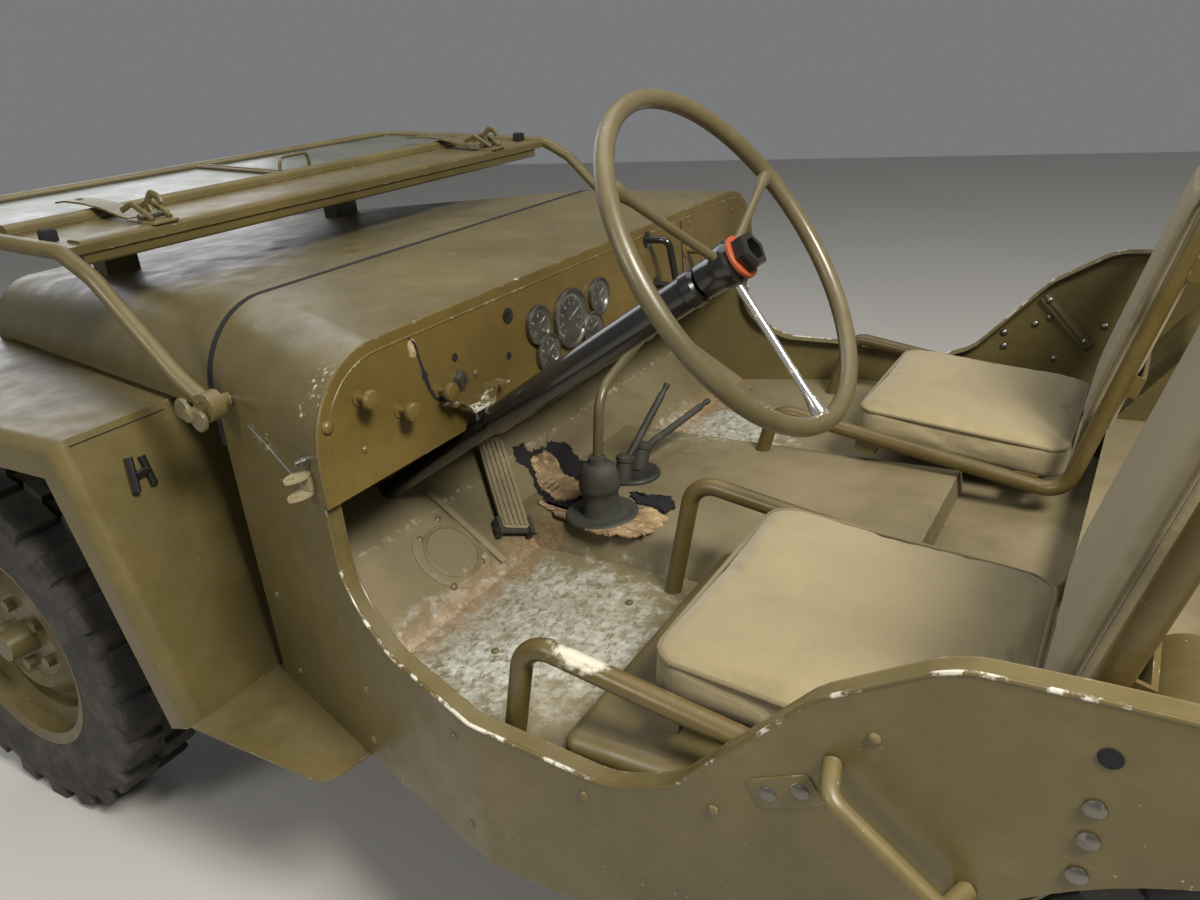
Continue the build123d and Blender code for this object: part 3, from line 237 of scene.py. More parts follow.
class Finish:
    """A procedural material, built up as a chain of nodes on the object's own coordinates."""

    def __init__(self, name, **constants):
        self.material = bpy.data.materials.new(name)
        self.material.use_nodes = True
        self.tree = self.material.node_tree
        self.shader = self.tree.nodes["Principled BSDF"]
        self.where = self.tree.nodes.new("ShaderNodeTexCoord")
        self.place = self.where.outputs["Object"]
        for socket, value in constants.items():
            self.shader.inputs[socket.replace("_", " ")].default_value = value

    def put(self, kind, *values, out=0, **settings):
        """Add a node with its settings, and feed its sockets in order with numbers, colours or nodes."""
        node = self.tree.nodes.new("ShaderNode" + kind)
        for key, value in settings.items():
            setattr(node, key, value)
        for socket, value in zip(node.inputs, values):
            if isinstance(value, bpy.types.NodeSocket):
                self.tree.links.new(value, socket)
            elif value is not None:
                if isinstance(value, (tuple, list)) and len(value) == 3 and socket.type == "RGBA":
                    value = (*value, 1.0)
                socket.default_value = value
        return node.outputs[out]

    def stretched(self, scale, turn=(0, 0, 0)):
        """The object's coordinates, turned and then scaled for each axis."""
        return self.put("Mapping", self.place, (0, 0, 0), turn, scale)

    def texture(self, kind, at, **values):
        """A texture node at the given coordinates, with its sockets set by name."""
        node = self.tree.nodes.new("ShaderNodeTex" + kind)
        self.tree.links.new(at or self.place, node.inputs["Vector"])
        for socket, value in values.items():
            node.inputs[socket].default_value = value
        return node

    def noise(self, scale, detail=4.0, rough=0.55, at=None, twist=0.0):
        """Cloudy noise from 0 to 1."""
        return self.texture(
            "Noise", at, Scale=scale, Detail=detail, Roughness=rough, Distortion=twist
        ).outputs[0]

    def cells(self, scale):
        """Distance to the nearest of scattered points."""
        return self.texture("Voronoi", None, Scale=scale).outputs["Distance"]

    def wave(self, scale, at=None, direction="X", twist=0.0):
        """Even sine bands from 0 to 1."""
        node = self.texture("Wave", at, Scale=scale, Distortion=twist)
        node.bands_direction = direction
        return node.outputs[1]

    def step(self, value, low, high, first=0.0, last=1.0):
        """Map low to high onto first to last, and hold the ends."""
        return self.put("MapRange", value, low, high, first, last)

    def sum(self, kind, *values):
        """Arithmetic on two numbers."""
        return self.put("Math", *values, operation=kind)

    def times(self, *values):
        """The product of two numbers."""
        return self.sum("MULTIPLY", *values)

    def mix(self, share, first, last):
        """Blend two colours."""
        node = self.tree.nodes.new("ShaderNodeMix")
        node.data_type = "RGBA"
        for socket, value in ((node.inputs[0], share), (node.inputs[6], first), (node.inputs[7], last)):
            if isinstance(value, bpy.types.NodeSocket):
                self.tree.links.new(value, socket)
            else:
                socket.default_value = (*value, 1.0) if isinstance(value, tuple) else value
        return node.outputs[2]

    def bump(self, height, strength, depth, under=None):
        """Turn a height into a shading normal, over another one if given."""
        node = self.tree.nodes.new("ShaderNodeBump")
        node.inputs["Strength"].default_value = strength
        node.inputs["Distance"].default_value = depth
        self.tree.links.new(height, node.inputs["Height"])
        if under:
            self.tree.links.new(under, node.inputs["Normal"])
        return node.outputs[0]

    def facing(self, axis=2):
        """How much the surface faces along an axis of its own object, from -1 to 1."""
        return self.put("SeparateXYZ", self.where.outputs["Normal"], out=axis)

    def edges(self, width):
        """1 on the outer edges, 0 on flat ground, by comparing the normal with a rounded-off one."""
        soft = self.put("Bevel", width)
        hard = self.tree.nodes.new("ShaderNodeNewGeometry").outputs["Normal"]
        same = self.put("VectorMath", soft, hard, operation="DOT_PRODUCT", out=1)
        return self.step(same, 0.995, 0.86)

    def spot(self, centre, reach, soft=0.25, rough=0.35, scale=30.0):
        """1 inside an ellipsoid round centre with a ragged border, 0 outside."""
        away = self.put("VectorMath", self.place, centre, operation="SUBTRACT")
        share = self.put("VectorMath", away, reach, operation="DIVIDE")
        far = self.put("VectorMath", share, operation="LENGTH", out=1)
        wander = self.step(self.noise(scale, 6.0, 0.65), 0.3, 0.7, -rough, rough)
        return self.step(self.sum("ADD", far, wander), 1 + soft, 1 - soft)

    def most(self, *masks):
        """The largest of several masks."""
        out = masks[0]
        for mask in masks[1:]:
            out = self.sum("MAXIMUM", out, mask)
        return out

    def set(self, color=None, rough=None, normal=None, metal=None):
        """Feed the shader and give back the material."""
        for value, name in (
            (color, "Base Color"), (rough, "Roughness"), (normal, "Normal"), (metal, "Metallic")
        ):
            if isinstance(value, bpy.types.NodeSocket):
                self.tree.links.new(value, self.shader.inputs[name])
            elif value is not None:
                self.shader.inputs[name].default_value = (*value, 1.0) if isinstance(value, tuple) else value
        return self.material


PALE = (0.5, 0.47, 0.38)
STEEL = (0.42, 0.41, 0.38)
DUST = (0.24, 0.2, 0.12)
SAND = (0.33, 0.2, 0.1)


def toned(base, share, lift=0.0):
    """A colour made lighter or darker by a share, and lifted by a fixed amount."""
    return tuple(min(1.0, c * share + lift) for c in base)


def olive_paint(name, base=(0.108, 0.084, 0.028), gloss=0.34, dust=0.2, chips=0.35, marks=None):
    """Worn semi-gloss olive paint: drifting tone, brush waves, scratches, chipped edges and dust on top."""
    f = Finish(name)
    dark = toned(base, 0.68)
    light = toned(base, 1.2, 0.003)
    cloud = f.noise(3.1, 6.0, 0.6)
    fine = f.noise(46.0, 5.0, 0.6)
    color = f.mix(f.step(cloud, 0.34, 0.68), dark, light)
    color = f.mix(f.step(fine, 0.42, 0.62, 0.0, 0.28), color, dark)
    streak = f.noise(22.0, 3.0, 0.5, f.stretched((1.0, 1.0, 9.0), (0.2, 0.5, 0.3)))
    scratch = f.step(streak, 0.7, 0.76)
    color = f.mix(f.times(scratch, 0.35), color, toned(base, 1.9))
    speck = f.step(f.cells(95.0), 0.1, 0.05)
    speck = f.times(speck, f.step(f.noise(9.0), 0.6, 0.66))
    edge = f.times(f.edges(0.0022), f.step(f.noise(60.0, 6.0, 0.7), 0.62 - 0.2 * chips, 0.7 - 0.2 * chips))
    bare = f.most(edge, speck)
    color = f.mix(f.times(bare, 0.8), color, PALE)
    up = f.step(f.facing(), 0.35, 0.95)
    film = f.times(up, f.step(f.noise(7.0, 8.0, 0.7), 0.4, 0.68, 0.15, 1.0))
    color = f.mix(f.times(film, dust), color, DUST)
    rough = f.step(f.noise(17.0, 5.0, 0.6), 0.3, 0.7, gloss - 0.07, gloss + 0.13)
    rough = f.sum("ADD", rough, f.times(film, 0.45 * dust))
    normal = f.bump(f.noise(5.5, 2.0, 0.4), 0.14, 0.012)
    normal = f.bump(fine, 0.1, 0.0012, normal)
    normal = f.bump(f.noise(420.0, 2.0, 0.5), 0.16, 0.0004, normal)
    if marks:
        color, rough, normal = marks(f, color, rough, normal)
    return f.set(color, rough, normal)


def chipped_bead(name, share):
    """Olive paint on a thin bead, worn through in long ragged runs to pale bare metal."""
    f = Finish(name)
    worn = f.step(f.noise(16.0, 8.0, 0.72), 0.7 - 0.3 * share, 0.74 - 0.3 * share)
    fine = f.step(f.noise(110.0, 5.0, 0.6), 0.34, 0.44)
    worn = f.times(worn, fine)
    tone = f.mix(f.noise(60.0), (0.4, 0.37, 0.28), (0.66, 0.64, 0.56))
    color = f.mix(worn, f.mix(f.noise(30.0), (0.08, 0.06, 0.018), (0.125, 0.096, 0.034)), tone)
    return f.set(color, f.step(worn, 0, 1, 0.32, 0.55), f.bump(worn, 0.4, 0.0006))


def floor_marks(f, color, rough, normal):
    """Worn whitish patches where feet rest, and reddish sand gathered along the toe crease."""
    worn = f.most(
        f.spot((0.02, 0.46, 0.545), (0.17, 0.19, 0.05), 0.22, 0.5, 38.0),
        f.spot((0.08, -0.29, 0.545), (0.12, 0.2, 0.05), 0.22, 0.5, 38.0),
    )
    flake = f.step(f.noise(95.0, 9.0, 0.74, f.stretched((1.0, 0.6, 1.0), (0, 0, 0.5)), 0.4), 0.38, 0.5)
    flake = f.times(flake, f.step(f.noise(17.0, 4.0, 0.6), 0.3, 0.44, 0.35, 1.0))
    worn = f.times(worn, flake)
    tone = f.mix(f.step(f.noise(70.0, 8.0, 0.7), 0.35, 0.65), (0.24, 0.26, 0.23), (0.6, 0.61, 0.54))
    color = f.mix(worn, color, tone)
    sand = f.most(
        f.spot((0.165, 0.44, 0.55), (0.03, 0.24, 0.035), 0.5, 0.6, 60.0),
        f.spot((0.165, -0.4, 0.55), (0.03, 0.22, 0.035), 0.5, 0.6, 60.0),
        f.spot((0.172, 0.24, 0.556), (0.035, 0.055, 0.04), 0.5, 0.6, 60.0),
    )
    sand = f.times(sand, f.step(f.noise(170.0, 5.0, 0.7), 0.4, 0.62, 0.0, 0.9))
    dusty = f.step(f.noise(5.0, 7.0, 0.65), 0.36, 0.66, 0.15, 0.62)
    color = f.mix(dusty, color, (0.195, 0.16, 0.088))
    color = f.mix(sand, color, SAND)
    rough = f.sum("MAXIMUM", rough, f.times(f.most(worn, sand), 0.82))
    return color, rough, f.bump(f.most(worn, sand), 0.35, 0.0012, normal)


def seat_marks(f, color, rough, normal):
    """Paint rubbed to bare pale metal where legs slide over the driver's outer rail."""
    worn = f.spot((-0.225, 0.7, 0.742), (0.032, 0.02, 0.014), 0.25, 0.5, 90.0)
    return f.mix(worn, color, PALE), rough, f.bump(worn, 0.3, 0.0008, normal)


def cowl_marks(f, color, rough, normal):
    """Scrapes on the left shoulder of the cowl, down to pale primer."""
    worn = f.most(
        f.spot((0.16, 0.632, 0.976), (0.02, 0.028, 0.036), 0.3, 0.6, 75.0),
        f.spot((0.188, 0.651, 0.944), (0.01, 0.01, 0.012), 0.3, 0.4, 75.0),
        f.spot((0.305, 0.626, 0.882), (0.045, 0.02, 0.014), 0.3, 0.6, 75.0),
    )
    worn = f.times(worn, f.step(f.noise(130.0, 6.0, 0.7), 0.55, 0.62))
    return f.mix(worn, color, PALE), rough, normal


def dark_paint(name, base=(0.06, 0.052, 0.032), rough=0.62):
    """Flat chassis paint under dried mud and dust."""
    f = Finish(name)
    color = f.mix(f.step(f.noise(6.0, 6.0, 0.65), 0.35, 0.65), base, toned(base, 1.7))
    mud = f.step(f.noise(24.0, 8.0, 0.7), 0.5, 0.62)
    color = f.mix(f.times(mud, 0.45), color, (0.17, 0.13, 0.08))
    color = f.mix(f.times(f.step(f.facing(), 0.3, 0.9), 0.35), color, DUST)
    normal = f.bump(mud, 0.25, 0.002, f.bump(f.noise(160.0, 3.0, 0.6), 0.25, 0.001))
    return f.set(color, f.step(f.noise(30.0), 0.3, 0.7, rough - 0.1, rough + 0.15), normal)


def gloss_black(name, base=(0.011, 0.011, 0.01)):
    """Glossy black enamel with handling dust and a few scratches."""
    f = Finish(name, Coat_Weight=0.4, Coat_Roughness=0.08)
    color = f.mix(f.step(f.noise(9.0, 3.0, 0.5), 0.5, 0.8, 0.0, 0.25), base, (0.04, 0.035, 0.024))
    scratch = f.step(
        f.noise(60.0, 2.0, 0.5, f.stretched((1.0, 6.0, 1.0), (0.7, 0.1, 0.4))), 0.76, 0.8, 0.0, 0.25
    )
    return f.set(
        f.mix(scratch, color, (0.16, 0.15, 0.13)),
        f.step(f.noise(12.0, 2.0), 0.3, 0.7, 0.17, 0.26),
        f.bump(f.noise(300.0), 0.04, 0.0003),
    )


def rubber(name, base=(0.02, 0.019, 0.018), dirt=0.5, rough=0.72):
    """Matt rubber, greyed by age, with dust in its hollows."""
    f = Finish(name, Specular_IOR_Level=0.35)
    color = f.mix(f.step(f.noise(8.0, 6.0, 0.6), 0.35, 0.7), base, toned(base, 2.1))
    film = f.step(f.noise(19.0, 8.0, 0.72), 0.45, 0.68)
    color = f.mix(f.times(film, dirt), color, (0.105, 0.088, 0.064))
    normal = f.bump(f.noise(330.0, 3.0, 0.6), 0.22, 0.0006, f.bump(f.noise(26.0, 5.0), 0.15, 0.002))
    return f.set(color, f.step(f.noise(40.0), 0.3, 0.7, rough - 0.08, rough + 0.12), normal)


def canvas(name, base=(0.265, 0.222, 0.125), turn=(0, 0, 0), soil=0.3):
    """Plain woven khaki canvas: crossing threads, slubs, soft creases and soiled places."""
    f = Finish(name, Specular_IOR_Level=0.2, Sheen_Weight=0.18, Sheen_Roughness=0.5)
    flat = f.stretched((1, 1, 1), turn)
    warp = f.wave(210.0, flat, "X", 0.3)
    weft = f.wave(210.0, flat, "Y", 0.3)
    weave = f.sum("MAXIMUM", warp, weft)
    slub = f.noise(90.0, 3.0, 0.6, f.stretched((14, 1.0, 1), turn))
    slub_y = f.noise(90.0, 3.0, 0.6, f.stretched((1, 14.0, 1), turn))
    color = f.mix(f.step(f.noise(4.0, 6.0, 0.6), 0.35, 0.68), toned(base, 0.86), toned(base, 1.1))
    color = f.mix(f.step(weave, 0.3, 0.9, 0.16, 0.0), color, toned(base, 0.45))
    color = f.mix(f.step(f.sum("ADD", slub, slub_y), 1.12, 1.35, 0.0, 0.35), color, toned(base, 1.45))
    stain = f.step(f.noise(11.0, 8.0, 0.68), 0.56, 0.7, 0.0, soil)
    color = f.mix(stain, color, toned(base, 0.52))
    crease = f.noise(13.0, 4.0, 0.55, f.stretched((1.0, 0.45, 1.0), (0.3, 0.2, 0.6)), 0.5)
    normal = f.bump(crease, 0.3, 0.008)
    normal = f.bump(weave, 0.35, 0.0005, normal)
    return f.set(color, 0.92, normal)


def dusty_glass(name):
    """Clear glass under an uneven film of dust."""
    f = Finish(name, Transmission_Weight=0.45, IOR=1.45)
    film = f.step(f.noise(6.0, 9.0, 0.7), 0.36, 0.7, 0.35, 0.9)
    smear = f.noise(14.0, 4.0, 0.6, f.stretched((1.0, 5.0, 1.0)))
    film = f.times(film, f.step(smear, 0.3, 0.7, 0.75, 1.0))
    return f.set(f.mix(film, (0.1, 0.12, 0.1), (0.26, 0.26, 0.2)), f.step(film, 0.3, 0.9, 0.22, 0.5))


def lens_glass(name, tint=(0.86, 0.88, 0.86), rough=0.04):
    """Lamp glass with pressed ribs."""
    f = Finish(name, Transmission_Weight=0.9, IOR=1.46)
    ribs = f.wave(26.0, None, "Y")
    return f.set(f.mix(f.noise(30.0), tint, toned(tint, 0.94)), rough, f.bump(ribs, 0.5, 0.002))


def smooth_glass(name):
    """Clear flat glass with faint dust."""
    f = Finish(name, Transmission_Weight=0.97, IOR=1.1)
    film = f.step(f.noise(30.0, 6.0, 0.7), 0.45, 0.75)
    return f.set(f.mix(film, (0.92, 0.93, 0.92), (0.8, 0.8, 0.76)), f.step(film, 0, 1, 0.03, 0.14))


def metal(name, base=STEEL, rough=0.36, rust=0.25):
    """Bare or worn metal with specks of rust and grime."""
    f = Finish(name)
    spots = f.step(f.noise(48.0, 8.0, 0.7), 0.56, 0.66)
    color = f.mix(f.times(spots, rust), base, (0.1, 0.055, 0.028))
    color = f.mix(f.step(f.noise(12.0, 5.0), 0.4, 0.7, 0.0, 0.35), color, toned(base, 0.5))
    return f.set(
        color, f.step(spots, 0, 1, rough, rough + 0.35), f.bump(f.noise(200.0), 0.15, 0.0005),
        f.step(spots, 0, 1, 0.9, 0.35)
    )


def plain(name, base, rough=0.5, grain=120.0, change=0.25, metallic=0.0):
    """A small part's finish: one colour with cloudy tone and fine grain."""
    f = Finish(name)
    color = f.mix(f.step(f.noise(grain * 0.25, 5.0), 0.35, 0.65), base, toned(base, 1 - change))
    return f.set(
        color, f.step(f.noise(grain), 0.3, 0.7, rough - 0.06, rough + 0.08),
        f.bump(f.noise(grain * 2), 0.12, 0.0005), metallic
    )


def torn_sheet(name):
    """Ragged sheet at the tunnel opening: raw pale tan layers with rusty smudges."""
    f = Finish(name)
    color = f.mix(f.step(f.noise(26.0, 8.0, 0.7), 0.38, 0.62), (0.36, 0.25, 0.13), (0.13, 0.088, 0.038))
    color = f.mix(f.step(f.noise(70.0, 6.0), 0.55, 0.66, 0.0, 0.7), color, (0.52, 0.4, 0.24))
    return f.set(color, 0.8, f.bump(f.noise(90.0, 8.0, 0.7), 0.6, 0.002))


paint = olive_paint("olive_body")
paint_hood = olive_paint("olive_hood", base=(0.112, 0.09, 0.034), gloss=0.32, dust=0.3)
paint_cowl = olive_paint("olive_cowl", gloss=0.29, dust=0.15, marks=cowl_marks)
paint_dash = olive_paint("olive_dash", base=(0.122, 0.084, 0.02), gloss=0.38, dust=0.08)
paint_floor = olive_paint(
    "olive_floor", base=(0.125, 0.102, 0.045), gloss=0.52, dust=0.55, chips=0.5, marks=floor_marks
)
paint_seat = olive_paint("olive_seat", base=(0.092, 0.066, 0.018), gloss=0.28, dust=0.1, marks=seat_marks)
paint_chipped = chipped_bead("olive_chipped_edge", 0.62)
paint_rubbed = chipped_bead("olive_rubbed_edge", 0.3)
gap_shadow = plain("gap_shadow", (0.004, 0.004, 0.003), 0.9)
# Pale dusty olive; on the cover ring's bead and on the toe board strip, its paleness is a painted highlight.
paint_dusty_and_highlight = olive_paint("olive_dusty_and_highlight", base=(0.235, 0.195, 0.11), gloss=0.55, dust=0.45, chips=0.3)
paint_rim = olive_paint("olive_steering", base=(0.105, 0.086, 0.04), gloss=0.3, dust=0.12, chips=0.2)
chassis = dark_paint("dark_chassis")
engine_paint = dark_paint("dark_engine", (0.08, 0.07, 0.04), 0.5)
black = gloss_black("gloss_black")
tread = rubber("tyre_rubber_worn", (0.022, 0.021, 0.02), 0.55)
boot_rubber = rubber("boot_rubber", (0.022, 0.023, 0.019), 0.35, 0.6)
cloth = canvas("khaki_canvas")
cloth_back = canvas("khaki_canvas_back", turn=(0, 1.27, 0))
cloth_seam = canvas("khaki_piping", base=(0.17, 0.138, 0.074), soil=0.15)
glass = dusty_glass("dusty_glass")
lens = lens_glass("lamp_lens")
red_lens = lens_glass("red_lens", (0.45, 0.02, 0.015), 0.08)
clear_glass = smooth_glass("gauge_glass")
steel = metal("worn_steel")
dull_steel = metal("dull_steel", (0.2, 0.19, 0.165), 0.34, 0.2)
bright = metal("bright_steel", (0.62, 0.61, 0.57), 0.24, 0.12)
mirror_metal = metal("reflector", (0.82, 0.82, 0.8), 0.08, 0.02)
dial_black = plain("dial_black", (0.012, 0.012, 0.012), 0.35)
dial_mark = plain("dial_mark", (0.62, 0.6, 0.5), 0.5)
# Flat black: painted shade in holes, a slot, a seam, tears and the tunnel opening.
black_and_painted_shade = plain("black_and_painted_shade", (0.006, 0.006, 0.006), 0.9)
red_ring = plain("red_ring", (0.3, 0.055, 0.015), 0.45)
raw_edge = torn_sheet("torn_sheet")

coats = {
    "hood": paint_hood,
    "cowl": paint_cowl,
    "dash_panel": paint_dash,
    "floor_pan": paint_floor,
    "front_seat_frames": paint_seat,
    "windshield_glass": glass,
    "steering_column": black,
    "engine_and_gearbox": engine_paint,
}
running_gear = (
    "chassis_frame", "front_axle", "rear_axle", "leaf_springs", "radiator", "left_knuckle",
    "right_knuckle"
)
coats.update(dict.fromkeys((*running_gear, "drive_shafts"), chassis))
for name, node in nodes.items():
    coat = coats.get(name, paint)
    for slot in node.material_slots:
        slot.material = coat

# Tyres: 22 block lugs on each side, staggered by half a pitch

FRONT_AXLE, REAR_AXLE = 1.121, -0.911
WHEEL_Y, AXLE_Z = 0.6225, 0.362


def tyre_surface():
    """Tyre about Y at the origin: one closed section swept round the axle. Each section point slides from
    its groove place to its lug place by the lug's share at that angle, which is 1 over the middle 47
    hundredths of a pitch, 0 over the gap and straight between; the right side's is half a pitch later."""
    steps = np.array([-0.5, -0.38, -0.265, -0.235, -0.12, 0, 0.12, 0.235, 0.265, 0.38])
    turn = (np.arange(22)[:, None] + steps).reshape(-1)
    groove = np.array(
        [
            (0.0, 349), (2.5, 349), (4, 349), (24, 349.4), (46, 349), (62, 346.5), (70, 341), (75, 331),
            (78, 318)
        ]
    )
    lug = np.array(
        [
            (0.0, 349), (2.5, 349), (4, 362), (24, 362), (46, 362), (70, 362), (75.6, 359), (76.8, 343),
            (78, 318)
        ]
    )
    wall = np.array([
        (79.4, 304), (80, 300), (80.6, 298), (80.6, 295), (80, 293), (80, 277), (78.6, 262), (75.6, 247),
        (75.9, 245), (75.2, 243), (71.0, 232), (66.5, 222), (62.0, 213), (58.5, 208), (56.0, 205.2),
        (40, 204.8), (0, 204.8),
    ])
    angle = turn * 2 * math.pi / 22
    half = {}
    for side, shift in ((1, 0.0), (-1, 0.5)):
        away = np.abs((turn + shift + 0.5) % 1 - 0.5)
        share = np.clip((0.265 - away) / 0.03, 0, 1)[:, None, None]
        tread_part = groove + (lug - groove) * share
        section = np.concatenate([tread_part, np.broadcast_to(wall, (len(turn), *wall.shape))], 1)
        half[side] = section * (side, 1)
    section = np.concatenate([half[1], half[-1][:, -2:0:-1]], 1) / 1000
    w, r = section[..., 0], section[..., 1]
    down = -math.pi / 2 + angle[:, None]
    return np.stack([r * np.cos(down), w, r * np.sin(down)], -1)


rolled = tyre_surface()
for end, x in (("front", FRONT_AXLE), ("rear", REAR_AXLE)):
    for side, word in SIDES:
        corner = f"{end}_{word}"
        tyre = Piece(f"{corner}_tyre_rubber", f"{corner}_wheel", "tyre_rubber", tread)
        tyre.add(rolled + (x, side * WHEEL_Y, AXLE_Z), loop=True).done(f"{corner}_tyre", sharp=28)
spare = np.stack([-rolled[..., 1] - 1.582, rolled[..., 0] - 0.24, rolled[..., 2] + 0.872], -1)
Piece(
    "spare_tyre_rubber", "vehicle_body", "tyre_rubber", tread
).add(spare, loop=True).done("spare_tyre", sharp=28)

# Steering wheel: rim, three spokes with flared ends, hub and nut

HUB = np.array([-0.277, 0.386, 1.09])
TILT = math.radians(32.76)
COLUMN = np.array([-math.cos(TILT), 0, math.sin(TILT)])
ACROSS = np.array([0.0, 1, 0])
UPWARD = np.cross(COLUMN, ACROSS)


def on_wheel(radius, degrees, out=0.0):
    """A point on the steering wheel: so far from its centre, at an angle, and out towards the driver."""
    a = np.radians(degrees)
    return HUB + radius * (np.cos(a)[..., None] * ACROSS + np.sin(a)[..., None] * UPWARD) + out * COLUMN


def steering_wheel():
    """Rim: a circle of 208 mm radius thickened to 11 mm. Spokes: rods from the hub, swelling at the rim."""
    wheel = Piece("steering_wheel_rim", "steering_wheel", "olive_paint", paint_rim, black, red_ring, bright)
    ring = on_wheel(0.208, np.linspace(0, 360, 120, endpoint=False))
    wheel.add(tube(ring, 0.011, 16, COLUMN, loop=True), loop=True)
    for angle in (82, 202, 322):
        end = on_wheel(0.205, np.array(float(angle)), 0.0)
        start = HUB - 0.018 * COLUMN
        share = np.array([0.06, 0.12, 0.5, 0.8, 0.86, 0.91, 0.95, 0.985, 1.0])
        path = start + (end - start) * share[:, None]
        size = np.array([7.5, 5.6, 5.2, 5.2, 6.2, 8.6, 9.4, 9.0, 7.0]) / 1000
        wheel.tube(3 if angle == 82 else 0, path, size, 14, COLUMN)
    boss = [(-52, 18), (-50, 22), (-28, 23), (-22, 27), (-6, 27), (-2, 24), (2, 21)]
    wheel.add(lathe(boss, HUB, COLUMN, 40), 1)
    wheel.add(lathe([(1, 24.5), (2, 26.2), (5.5, 26.2), (7, 24)], HUB, COLUMN, 40), 2)
    nut = [(5, 21.5), (7, 22.8), (21, 22.8), (23.5, 20.5), (23.5, 14), (12, 13), (12, 0)]
    wheel.add(lathe(nut, HUB, COLUMN, 6), 1)
    wheel.done("steering_wheel")


steering_wheel()


# Instrument panel, whose face looks back

FACE = 0.143
BACK = np.array([-1.0, 0, 0])


def on_dash(*pairs):
    """Points on the instrument panel's face, from (y, z) pairs in millimetres."""
    p = np.array(pairs, float) / 1000
    return np.column_stack([np.full(len(p), FACE), p])


def steering_column():
    """Column jacket on the steering axis, its lower tube and gear box, and the strap up to the panel."""
    column = fitting("steering_column_jacket", black, paint_chipped, dull_steel)
    down = -COLUMN
    upper = [(8, 10), (55, 10), (56, 18.5), (60, 22.5), (74, 23.5), (76, 21.5)]
    lower = [(300, 21.5), (452, 21.5), (460, 19.5), (464, 16), (790, 16)]
    column.add(lathe(upper + lower, HUB, down, 40), 0)
    box = rounded_box(0.034, 0.03, 0.012, 32)
    column.plate(0, box, (0.42, 0.334, 0.0), (1, 0, 0), (0, 1, 0), 0.512, 0.69, 0.006)
    strap = on_dash((448, 884), (434, 886), (409, 862), (363, 862), (350, 884), (322, 880))
    front = rounded(strap, 0.006, 0.003, 4)
    rear = front - (0.024, 0, 0)
    rise = np.array([0, 0, 0.0026])
    column.add(np.stack([rear, front, front + rise, rear + rise], 1), 1)
    bolt = [(0, 4), (4, 7), (10, 7), (11, 4.2), (34, 4), (35, 6.5), (41, 6.5), (42, 0)]
    column.turn(2, bolt, (0.131, 0.392, 0.866), (0, 0, -1), 12)
    column.done("steering_column")


steering_column()


def dial(piece, y, z, r, marks):
    """One gauge: turned bezel, face with raised marks round three quarters of a circle, needle, glass."""
    at = np.array([FACE, y, z])
    rim = r * 1000
    bezel = [
        (-1, rim), (4, rim + 2), (8, rim + 1.5), (9.2, rim - 0.5), (8.5, rim - 2.5), (4.6, rim - 4),
        (4.6, 0)
    ]
    piece.turn(0, bezel, at, BACK, 56)
    piece.turn(1, [(4.7, rim - 4.2), (5, rim - 4.6), (5, 0)], at, BACK, 56)
    a = np.radians(np.linspace(-135, 135, marks))
    out = np.stack([0 * a, np.sin(a), np.cos(a)], 1)
    inner = np.where(np.arange(marks) % 5 == 0, 0.72, 0.82)[:, None]
    face = at + BACK * 0.0051
    reach = out * (r - 0.005)
    piece.bars(2, face + reach * inner, face + reach * 0.92, np.cross(out, BACK) * 0.0005, BACK * 0.0003)
    tall = face + reach[::5] * 0.58
    piece.bars(2, tall - (0, 0, 0.0022), tall + (0, 0, 0.0022), (0, 0.0011, 0), BACK * 0.0003)
    n = np.array([[0, math.sin(-1.2), math.cos(-1.2)]])
    piece.bars(2, face - n * r * 0.12, face + n * r * 0.62, np.cross(n, BACK) * 0.0009, BACK * 0.0006)
    piece.turn(0, [(4.7, 4), (6.5, 3.5), (7, 0)], at, BACK, 16)
    piece.turn(3, [(7, rim - 3.6), (7.8, (rim - 3.6) * 0.6), (8, 0)], at, BACK, 48)


dials = fitting("dash_gauges", dull_steel, dial_black, dial_mark, clear_glass)
dial(dials, 0.114, 0.918, 0.0475, 41)
for y, z in ((0.206, 0.932), (0.021, 0.932), (0.187, 0.882), (0.05, 0.88)):
    dial(dials, y, z, 0.03, 21)
dials.done()


